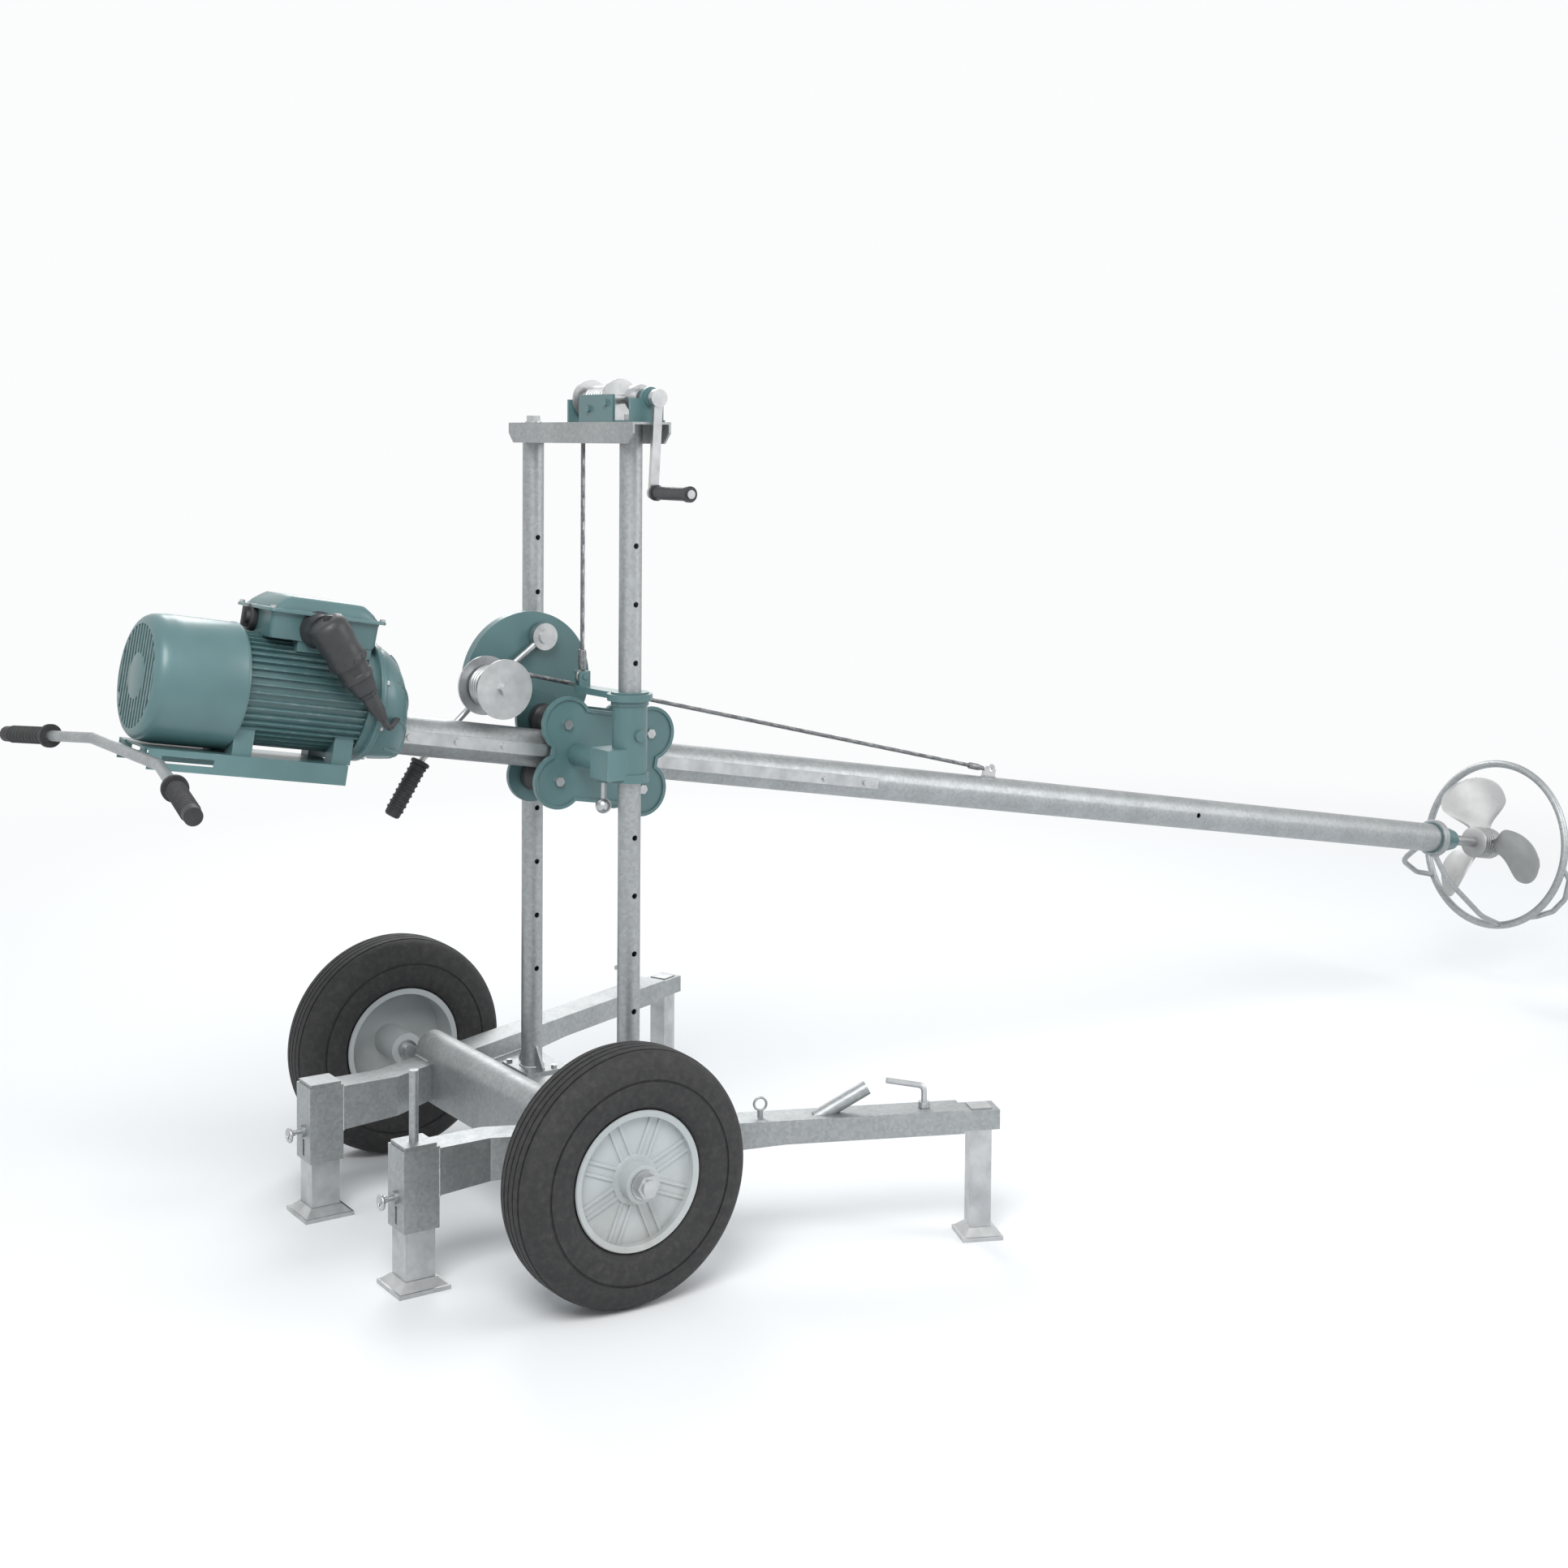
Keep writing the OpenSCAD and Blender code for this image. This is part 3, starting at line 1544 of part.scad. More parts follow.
// Handlebar bent back and down at its ends, on two lugs of the tray.
module handlebar() {
    color(steel) placed()
        on_boom() {
            bent_bar([
                [bar_l + bar_out[0], -bar_half - bar_out[1], bar_up + bar_out[2]],
                [bar_l, -bar_half, bar_up],
                [bar_l, bar_half, bar_up],
                [bar_l + bar_out[0], bar_half + bar_out[1], bar_up + bar_out[2]]
            ], bar_d, 60);
            for (s = [-1, 1])
                block([bar_l, s * 60 - 12, bar_up - 9], [-tray_back - 3, s * 60 + 12, bar_up + 9]);
        }
}

// Ribbed rubber grips with collars over the handlebar's ends.
module handle_grips() {
    run = norm(bar_out);
    color(rubber) placed()
        on_boom()
            for (s = [-1, 1])
                translate([bar_l, s * bar_half, bar_up])
                    rotate([0, acos(bar_out[2] / run), atan2(s * bar_out[1], bar_out[0])])
                        difference() {
                            translate([0, 0, run + 6 - grip_len]) {
                                cylinder(d = grip_d, h = grip_len);
                                translate([0, 0, -8])
                                    cylinder(d = grip_d + 16, h = 10);
                                for (k = [0 : grip_ribs - 1])
                                    translate([0, 0, 16 + k * 15])
                                        rotate_extrude()
                                            translate([grip_d / 2 - 0.5, 0])
                                                circle(d = 5, $fn = 16);
                            }
                            translate([0, 0, -9])
                                cylinder(d = bar_d + 2 * fit_gap, h = run + 9 + fit_gap);
                        }
}

// One pitched blade: a rounded outline cut from a cambered shell.
module blade() {
    root_r = prop_hub_d / 2 - 8;
    camber_r = 210;
    blade_t = 6;
    mid_r = prop_r * 0.62;
    rotate([0, 0, 55])
        intersection() {
            translate([0, camber_r, 0])
                difference() {
                    cylinder(r = camber_r, h = prop_r, $fn = 96);
                    translate([0, 0, -1])
                        cylinder(r = camber_r - blade_t, h = prop_r + 2, $fn = 96);
                }
            rotate([90, 0, 0])
                translate([0, 0, -60])
                    linear_extrude(120) {
                        translate([6, mid_r])
                            circle(r = prop_r - mid_r, $fn = 64);
                        polygon([[-26, root_r], [26, root_r], [70, mid_r - 22], [-58, mid_r - 22]]);
                    }
        }
}

// Propeller with a grooved hub and pitched blades.
module propeller() {
    color(bright) placed()
        on_boom()
            translate([prop_l, 0, 0])
                difference() {
                    union() {
                        rod_x(prop_hub_d, -prop_len / 2, prop_len / 2 - 22);
                        translate([prop_len / 2 - 22, 0, 0])
                            rotate([0, 90, 0])
                                cylinder(d1 = prop_hub_d, d2 = 54, h = 22);
                        for (k = [0 : blade_count - 1])
                            rotate([k * 360 / blade_count + 24, 0, 0])
                                blade();
                    }
                    rod_x(shaft_d + 2 * fit_gap, -prop_len, prop_len / 2 - 8);
                    for (k = [0 : 3])
                        translate([-prop_len / 2 + 8 + k * 10, 0, 0])
                            rotate([0, 90, 0])
                                rotate_extrude()
                                    translate([prop_hub_d / 2 - 3, 0])
                                        square([9, 4]);
                }
}

// Guard ring with four bent flat stays welded to a collar on the bearing carrier.
module propeller_guard() {
    stay_n = 4;
    hub_r = boom_d / 2 + 12;
    color(steel) placed()
        on_boom() {
            translate([guard_l, 0, 0])
                rotate([0, 90, 0])
                    rotate_extrude($fn = 96)
                        translate([guard_r, 0])
                            circle(d = guard_bar_d, $fn = 24);
            pipe_x(2 * hub_r, boom_d + 8 + 2 * fit_gap, boom_front + 2, boom_front + 24);
            for (k = [0 : stay_n - 1])
                rotate([k * 360 / stay_n + 45, 0, 0])
                    bent_bar([
                        [boom_front + 13, 0, hub_r - 3],
                        [boom_front + 60, 0, hub_r + 120],
                        [guard_l - 70, 0, guard_r - 6],
                        [guard_l, 0, guard_r]
                    ], 14, 30);
        }
}

right_tyre();
left_tyre();
right_rim();
left_rim();
axle();
frame_fasteners();
side_beams();
cross_member();
frame_plates();
right_jack_tube();
left_jack_tube();
right_jack_leg();
left_jack_leg();
right_jack_clamp();
left_jack_clamp();
right_outrigger();
left_outrigger();
right_front_leg();
left_front_leg();
right_leg_clamp();
left_leg_clamp();
drawbar_socket();
mast_tubes();
head_beam();
hoist_frame();
hoist_drum();
hoist_crank();
hoist_grip();
hoist_rope();
carriage_sleeve();
hoist_yoke();
tilt_clamp();
right_rocker_plate();
left_rocker_plate();
roller_bolts();
rear_upper_roller();
rear_lower_roller();
front_upper_roller();
front_lower_roller();
gear_case();
haul_drum();
haul_lever();
haul_rope();
shaft_tube();
guide_rails();
drive_housing();
drive_shaft();
tail_bearing();
motor_frame();
motor_rotor();
fan_cowl();
terminal_box();
terminal_lid();
switch_knob();
plug_and_lead();
motor_tray();
handlebar();
handle_grips();
propeller();
propeller_guard();
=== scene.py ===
import json
import math

import bmesh
import bpy
from mathutils import Matrix, Vector


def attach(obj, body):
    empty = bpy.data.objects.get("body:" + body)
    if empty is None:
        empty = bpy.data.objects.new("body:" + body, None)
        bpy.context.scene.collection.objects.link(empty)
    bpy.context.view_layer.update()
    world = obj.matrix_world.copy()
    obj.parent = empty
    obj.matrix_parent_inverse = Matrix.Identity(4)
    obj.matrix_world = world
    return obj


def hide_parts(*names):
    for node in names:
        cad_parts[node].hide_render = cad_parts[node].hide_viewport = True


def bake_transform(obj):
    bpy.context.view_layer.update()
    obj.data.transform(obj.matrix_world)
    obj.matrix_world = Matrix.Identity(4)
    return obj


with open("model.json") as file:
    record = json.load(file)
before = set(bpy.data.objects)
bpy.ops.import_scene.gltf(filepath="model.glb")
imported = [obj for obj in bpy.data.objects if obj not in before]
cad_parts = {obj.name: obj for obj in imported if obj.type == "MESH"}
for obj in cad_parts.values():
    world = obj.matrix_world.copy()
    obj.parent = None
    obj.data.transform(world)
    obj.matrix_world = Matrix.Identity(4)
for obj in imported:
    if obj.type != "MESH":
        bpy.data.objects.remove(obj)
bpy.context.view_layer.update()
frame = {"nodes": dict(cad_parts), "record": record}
NODES = frame["nodes"]

# The picture is 1932 pixels wide and high; the camera was fitted to the mast, wheels and shaft tube.
SENSOR_MM = 36.0
LENS_MM = 48.45
CAMERA_AT = (-3.3289, -4.045, 1.679)
CAMERA_TURN = math.radians(-34.579)
CAMERA_PITCH = math.radians(-2.46)
CAMERA_ROLL = math.radians(0.45)
CAMERA_SHIFT_Y = -0.16

# Colours as linear values.
BACKGROUND = (0.97, 0.975, 0.98)
TEAL = (0.105, 0.205, 0.21)
TEAL_DARK = (0.06, 0.125, 0.13)
GALVANISED = (0.42, 0.44, 0.445)
GALVANISED_DARK = (0.355, 0.372, 0.38)
ZINC = (0.56, 0.57, 0.575)
ZINC_DARK = (0.40, 0.41, 0.42)
STAINLESS = (0.43, 0.435, 0.435)
STAINLESS_DARK = (0.33, 0.335, 0.335)
BARE_STEEL = (0.34, 0.345, 0.345)
WIRE = (0.32, 0.33, 0.335)
WIRE_DARK = (0.14, 0.145, 0.15)
RUBBER = (0.018, 0.018, 0.019)
RUBBER_WORN = (0.035, 0.035, 0.036)
RUBBER_DUST = (0.075, 0.072, 0.066)
PLASTIC = (0.022, 0.023, 0.025)
PLASTIC_WORN = (0.04, 0.042, 0.045)
WHEEL_PAINT = (0.47, 0.50, 0.505)
WHEEL_PAINT_DARK = (0.40, 0.43, 0.435)
ROAD_DUST = (0.33, 0.31, 0.28)
FLOOR = (0.86, 0.87, 0.875)
SKY_LIGHT = (0.93, 0.96, 1.0)

# The floor, in metres: its side, and the distances between which it fades to the background.
FLOOR_SIZE = 60.0
FADE_NEAR = 2.6
FADE_FAR = 6.0
SKY_STRENGTH = 0.62


def stage_material(name, colour, near, far):
    """Diffuse floor that fades to the white background with distance, for camera and glossy rays."""
    mat = bpy.data.materials.new(name)
    mat.use_nodes = True
    tree = mat.node_tree
    shader = tree.nodes["Principled BSDF"]
    shader.inputs["Base Color"].default_value = (*colour, 1.0)
    shader.inputs["Roughness"].default_value = 0.9
    shader.inputs["Specular IOR Level"].default_value = 0.0
    place = tree.nodes.new("ShaderNodeTexCoord")
    length = tree.nodes.new("ShaderNodeVectorMath")
    length.operation = "LENGTH"
    tree.links.new(place.outputs["Object"], length.inputs[0])
    fade = tree.nodes.new("ShaderNodeMapRange")
    fade.interpolation_type = "SMOOTHSTEP"
    fade.inputs["From Min"].default_value = near
    fade.inputs["From Max"].default_value = far
    tree.links.new(length.outputs["Value"], fade.inputs["Value"])
    path = tree.nodes.new("ShaderNodeLightPath")
    either = tree.nodes.new("ShaderNodeMath")
    either.operation = "MAXIMUM"
    tree.links.new(path.outputs["Is Camera Ray"], either.inputs[0])
    tree.links.new(path.outputs["Is Glossy Ray"], either.inputs[1])
    both = tree.nodes.new("ShaderNodeMath")
    both.operation = "MULTIPLY"
    tree.links.new(fade.outputs["Result"], both.inputs[0])
    tree.links.new(either.outputs["Value"], both.inputs[1])
    glow = tree.nodes.new("ShaderNodeEmission")
    glow.inputs["Color"].default_value = (*BACKGROUND, 1.0)
    mix = tree.nodes.new("ShaderNodeMixShader")
    tree.links.new(both.outputs["Value"], mix.inputs["Fac"])
    tree.links.new(shader.outputs["BSDF"], mix.inputs[1])
    tree.links.new(glow.outputs["Emission"], mix.inputs[2])
    tree.links.new(mix.outputs["Shader"], tree.nodes["Material Output"].inputs["Surface"])
    return mat


class Surface:
    """A Principled material that is built up node by node from object coordinates."""

    def __init__(self, name, metallic=0.0, coat=0.0):
        self.mat = bpy.data.materials.new(name)
        self.mat.use_nodes = True
        self.tree = self.mat.node_tree
        self.shader = self.tree.nodes["Principled BSDF"]
        self.shader.inputs["Metallic"].default_value = metallic
        self.shader.inputs["Coat Weight"].default_value = coat
        self.place = self.tree.nodes.new("ShaderNodeTexCoord").outputs["Object"]

    def link(self, out, into):
        self.tree.links.new(out, into)

    def noise(self, scale, detail=4.0, roughness=0.55, stretch=(1, 1, 1)):
        node = self.tree.nodes.new("ShaderNodeTexNoise")
        node.inputs["Scale"].default_value = scale
        node.inputs["Detail"].default_value = detail
        node.inputs["Roughness"].default_value = roughness
        self.link(self.stretched(stretch), node.inputs["Vector"])
        return node.outputs["Fac"]

    def cells(self, scale):
        node = self.tree.nodes.new("ShaderNodeTexVoronoi")
        node.inputs["Scale"].default_value = scale
        self.link(self.place, node.inputs["Vector"])
        return node.outputs["Color"]

    def stretched(self, stretch):
        if tuple(stretch) == (1, 1, 1):
            return self.place
        node = self.tree.nodes.new("ShaderNodeMapping")
        node.inputs["Scale"].default_value = stretch
        self.link(self.place, node.inputs["Vector"])
        return node.outputs["Vector"]

    def ramp(self, factor, *stops):
        node = self.tree.nodes.new("ShaderNodeValToRGB")
        elements = node.color_ramp.elements
        while len(elements) < len(stops):
            elements.new(0.5)
        for element, (at, colour) in zip(elements, stops):
            element.position = at
            value = colour if isinstance(colour, tuple) else (colour, colour, colour)
            element.color = (*value, 1.0)
        self.link(factor, node.inputs["Fac"])
        return node.outputs["Color"]

    def mix(self, factor, first, second, blend="MIX"):
        node = self.tree.nodes.new("ShaderNodeMix")
        node.data_type = "RGBA"
        node.blend_type = blend
        for value, index in ((factor, 0), (first, 6), (second, 7)):
            socket = node.inputs[index]
            if isinstance(value, bpy.types.NodeSocket):
                self.link(value, socket)
            elif isinstance(value, tuple):
                socket.default_value = (*value, 1.0)
            else:
                socket.default_value = value
        return node.outputs[2]

    def scaled(self, value, low, high):
        node = self.tree.nodes.new("ShaderNodeMapRange")
        node.inputs["To Min"].default_value = low
        node.inputs["To Max"].default_value = high
        self.link(value, node.inputs["Value"])
        return node.outputs["Result"]

    def along(self, axis, low, high):
        split = self.tree.nodes.new("ShaderNodeSeparateXYZ")
        self.link(self.place, split.inputs["Vector"])
        node = self.tree.nodes.new("ShaderNodeMapRange")
        node.inputs["From Min"].default_value = low
        node.inputs["From Max"].default_value = high
        self.link(split.outputs[axis], node.inputs["Value"])
        return node.outputs["Result"]

    def edges(self, radius, low=0.02, high=0.16):
        """1 along outer and inner edges, 0 on open faces."""
        bevel = self.tree.nodes.new("ShaderNodeBevel")
        bevel.samples = 4
        bevel.inputs["Radius"].default_value = radius
        plain = self.tree.nodes.new("ShaderNodeNewGeometry")
        dot = self.tree.nodes.new("ShaderNodeVectorMath")
        dot.operation = "DOT_PRODUCT"
        self.link(bevel.outputs["Normal"], dot.inputs[0])
        self.link(plain.outputs["Normal"], dot.inputs[1])
        node = self.tree.nodes.new("ShaderNodeMapRange")
        node.inputs["From Min"].default_value = 1.0 - low
        node.inputs["From Max"].default_value = 1.0 - high
        self.link(dot.outputs["Value"], node.inputs["Value"])
        return node.outputs["Result"]

    def product(self, first, second):
        node = self.tree.nodes.new("ShaderNodeMath")
        node.operation = "MULTIPLY"
        node.use_clamp = True
        self.link(first, node.inputs[0])
        self.link(second, node.inputs[1])
        return node.outputs["Value"]

    def bump(self, height, distance, strength):
        node = self.tree.nodes.new("ShaderNodeBump")
        node.inputs["Strength"].default_value = strength
        node.inputs["Distance"].default_value = distance
        self.link(height, node.inputs["Height"])
        self.link(node.outputs["Normal"], self.shader.inputs["Normal"])

    def colour(self, source):
        self.link(source, self.shader.inputs["Base Color"])

    def roughness(self, source):
        self.link(source, self.shader.inputs["Roughness"])


def galvanised_steel():
    """Hot-dip galvanised tube: faint spangle, soft streaks and a dull grey sheen."""
    s = Surface("galvanised", metallic=0.85)
    spangle = s.ramp(s.cells(150.0), (0.2, GALVANISED_DARK), (0.85, GALVANISED))
    streaks = s.ramp(s.noise(9.0, stretch=(1, 1, 0.25)), (0.35, 0.82), (0.7, 1.0))
    s.colour(s.mix(0.75, spangle, streaks, "MULTIPLY"))
    s.roughness(s.scaled(s.noise(30.0), 0.36, 0.6))
    s.bump(s.noise(240.0, 2.0), 0.0002, 0.5)
    return s.mat


def zinc_plated():
    """Zinc-plated screws, brackets and feet: brighter, with faint handling marks."""
    s = Surface("zinc_plated", metallic=0.95)
    s.colour(s.ramp(s.noise(22.0, 6.0), (0.3, ZINC_DARK), (0.65, ZINC)))
    s.roughness(s.scaled(s.noise(60.0, 3.0), 0.24, 0.46))
    s.bump(s.noise(700.0, 2.0), 0.0001, 0.4)
    return s.mat


def teal_paint():
    """Semi-gloss enamel: orange peel, a little dust, and bright steel where edges are rubbed."""
    s = Surface("teal_paint", coat=0.25)
    s.shader.inputs["Coat Roughness"].default_value = 0.18
    base = s.ramp(s.noise(3.5, 3.0), (0.3, TEAL_DARK), (0.75, TEAL))
    worn = s.product(s.edges(0.0016), s.ramp(s.noise(38.0, 6.0), (0.52, 0.0), (0.62, 1.0)))
    s.colour(s.mix(worn, base, BARE_STEEL))
    s.roughness(s.scaled(s.noise(14.0), 0.32, 0.5))
    s.bump(s.noise(420.0, 2.0), 0.00025, 0.35)
    return s.mat


def wheel_paint():
    """Pale stoved paint on the pressed wheels, dusty towards the ground."""
    s = Surface("wheel_paint", coat=0.15)
    patches = s.ramp(s.noise(26.0, 5.0), (0.35, 0.2), (0.7, 1.0))
    dust = s.product(s.along("Z", 0.30, 0.02), patches)
    clean = s.ramp(s.noise(6.0), (0.3, WHEEL_PAINT_DARK), (0.7, WHEEL_PAINT))
    s.colour(s.mix(dust, clean, ROAD_DUST))
    s.roughness(s.scaled(s.noise(18.0), 0.34, 0.55))
    s.bump(s.noise(380.0, 2.0), 0.0002, 0.3)
    return s.mat


def tyre_rubber():
    """Matt tyre rubber, greyer with dust near the tread."""
    s = Surface("tyre_rubber")
    dust = s.ramp(s.noise(70.0, 8.0, 0.7), (0.44, 0.05), (0.75, 0.45))
    s.colour(s.mix(dust, RUBBER, RUBBER_DUST))
    s.roughness(s.scaled(s.noise(40.0), 0.62, 0.86))
    s.bump(s.noise(520.0, 3.0), 0.0004, 0.5)
    return s.mat


def grip_rubber():
    """Soft black grip rubber."""
    s = Surface("grip_rubber")
    s.colour(s.ramp(s.noise(60.0), (0.3, RUBBER), (0.75, RUBBER_WORN)))
    s.roughness(s.scaled(s.noise(90.0), 0.5, 0.7))
    s.bump(s.noise(900.0, 2.0), 0.0002, 0.5)
    return s.mat


def black_plastic():
    """Moulded black plastic with a fine grain."""
    s = Surface("black_plastic")
    s.colour(s.ramp(s.noise(35.0), (0.3, PLASTIC), (0.8, PLASTIC_WORN)))
    s.roughness(s.scaled(s.noise(50.0), 0.36, 0.52))
    s.bump(s.noise(1300.0, 2.0), 0.00015, 0.5)
    return s.mat


def machined_steel():
    """Drive shaft and propeller: dull steel with fine turning marks."""
    s = Surface("machined_steel", metallic=1.0)
    s.colour(s.ramp(s.noise(12.0, 4.0), (0.3, STAINLESS_DARK), (0.7, STAINLESS)))
    s.roughness(s.scaled(s.noise(140.0, 3.0, stretch=(12, 1, 1)), 0.46, 0.62))
    s.bump(s.noise(500.0, 2.0, stretch=(6, 1, 1)), 0.0001, 0.4)
    return s.mat


def wire_rope():
    """Steel wire, lightly greased."""
    s = Surface("wire_rope", metallic=0.9)
    s.colour(s.ramp(s.noise(120.0), (0.3, WIRE_DARK), (0.75, WIRE)))
    s.roughness(s.scaled(s.noise(200.0), 0.3, 0.5))
    return s.mat


FINISHES = {
    "tyres": tyre_rubber(),
    "wheel_steel": wheel_paint(),
    "zinc": zinc_plated(),
    "galvanised": galvanised_steel(),
    "paint": teal_paint(),
    "black_plastic": black_plastic(),
    "grip_rubber": grip_rubber(),
    "rope": wire_rope(),
    "shaft_steel": machined_steel(),
}


def dress_nodes():
    """Gives each CAD node the finish of its material slot."""
    for part in frame["record"]["subparts"]:
        piece = NODES[part["node"]]
        for slot in piece.material_slots:
            slot.material = FINISHES[part["material_slot"]]


def make_camera():
    data = bpy.data.cameras.new("camera")
    data.sensor_width = SENSOR_MM
    data.lens = LENS_MM
    data.shift_y = CAMERA_SHIFT_Y
    data.clip_end = 200.0
    camera = bpy.data.objects.new("camera", data)
    bpy.context.collection.objects.link(camera)
    turn = Matrix.Rotation(CAMERA_TURN, 4, "Z")
    tip = Matrix.Rotation(math.radians(90) + CAMERA_PITCH, 4, "X")
    roll = Matrix.Rotation(CAMERA_ROLL, 4, "Z")
    camera.matrix_world = Matrix.Translation(CAMERA_AT) @ turn @ tip @ roll
    bpy.context.scene.camera = camera


def area_light(name, at, aim, size, power):
    data = bpy.data.lights.new(name, "AREA")
    data.shape = "DISK"
    data.size = size
    data.energy = power
    lamp = bpy.data.objects.new(name, data)
    bpy.context.collection.objects.link(lamp)
    lamp.location = at
    lamp.rotation_euler = (Vector(aim) - Vector(at)).to_track_quat("-Z", "Y").to_euler()


def make_stage():
    """White floor and world, with broad soft lamps."""
    bpy.ops.mesh.primitive_plane_add(size=FLOOR_SIZE, location=(0.0, 0.0, 0.0))
    floor = bpy.context.object
    floor.name = "floor"
    floor.data.materials.append(stage_material("floor_white", FLOOR, FADE_NEAR, FADE_FAR))
    world = bpy.data.worlds.new("studio")
    bpy.context.scene.world = world
    world.use_nodes = True
    tree = world.node_tree
    tree.nodes.clear()
    out = tree.nodes.new("ShaderNodeOutputWorld")
    seen = tree.nodes.new("ShaderNodeBackground")
    seen.inputs["Color"].default_value = (*BACKGROUND, 1.0)
    seen.inputs["Strength"].default_value = 1.0
    lit = tree.nodes.new("ShaderNodeBackground")
    lit.inputs["Color"].default_value = (*SKY_LIGHT, 1.0)
    lit.inputs["Strength"].default_value = SKY_STRENGTH
    path = tree.nodes.new("ShaderNodeLightPath")
    either = tree.nodes.new("ShaderNodeMath")
    either.operation = "MAXIMUM"
    tree.links.new(path.outputs["Is Camera Ray"], either.inputs[0])
    tree.links.new(path.outputs["Is Glossy Ray"], either.inputs[1])
    mix = tree.nodes.new("ShaderNodeMixShader")
    tree.links.new(either.outputs["Value"], mix.inputs["Fac"])
    tree.links.new(lit.outputs["Background"], mix.inputs[1])
    tree.links.new(seen.outputs["Background"], mix.inputs[2])
    tree.links.new(mix.outputs["Shader"], out.inputs["Surface"])
    area_light("key", (-4.0, -3.6, 5.2), (-0.4, 0.0, 0.6), 3.2, 260.0)
    area_light("fill", (3.8, -4.2, 3.4), (0.2, 0.0, 0.7), 3.4, 120.0)
    area_light("rim", (1.2, 4.6, 4.4), (0.0, 0.0, 0.8), 3.0, 140.0)
    bpy.context.scene.view_settings.view_transform = "Standard"


# Frames of the pieces. BOOM is the shaft tube's own at rest: x along the tube, z square to it.
MM = 0.001
BOOM_TILT = math.radians(9.4)
BOOM = Matrix.Translation((-1.081937, 0.0, 0.996)) @ Matrix.Rotation(BOOM_TILT, 4, "Y")
GROUND = Matrix.Identity(4)
ALONG_X = Matrix.Rotation(math.radians(90), 4, "Y")
ALONG_Y = Matrix.Rotation(math.radians(-90), 4, "X")

# Sizes of the CAD model that the pieces follow, in millimetres.
BODY_X = -1276.937
MOTOR_RISE = 62.0
COWL_R = 126.0
MOTOR_BACK = 840.0
COWL_BACK = 998.0
HOUSING_BACK = 540.0
COLLAR_R = 54.0
COLLAR_RISE = 2.0
BOOM_BACK = 450.0
BOOM_R = 41.25
BOOM_FRONT = 2930.0
CASE_FRONT = -548.0
CASE_BACK = -776.0
SWITCH_Y = 18.0
SWITCH_UP = 202.0
PLUG_Y = -152.0
ROPE_R = 5.0
ROPE_X = 179.7 + BODY_X
ROPE_Y = -40.0
ROPE_LOW = 1184.62
ROPE_TOP = 1768.0
EYE_Z = 1168.62
DRUM_L = -228.0
HAUL_START_UP = 161.05
HAUL_EYE_L = 1176.0
PROPELLER_L = 3185.0
RING_L = 3237.0
RING_R = 245.0
BEAM_Y = 240.0
BEAM_TOP = 281.0
BEAM_HALF = 37.0
MAST_X = 195.0
MAST_Y = 218.0
MAST_R = 25.4


def filleted(points, radius, steps=6):
    """The points of a path whose corners are rounded off to the given radius."""
    path = [Vector(p) for p in points]
    out = [path[0]]
    for before, corner, after in zip(path, path[1:], path[2:]):
        back = (before - corner).normalized()
        ahead = (after - corner).normalized()
        half = back.angle(ahead) / 2
        room = 0.49 * min((before - corner).length, (after - corner).length)
        cut = min(radius / math.tan(half), room)
        start = corner + back * cut
        stop = corner + ahead * cut
        for k in range(steps + 1):
            t = k / steps
            out.append(start.lerp(corner, t).lerp(corner.lerp(stop, t), t))
    out.append(path[-1])
    return out


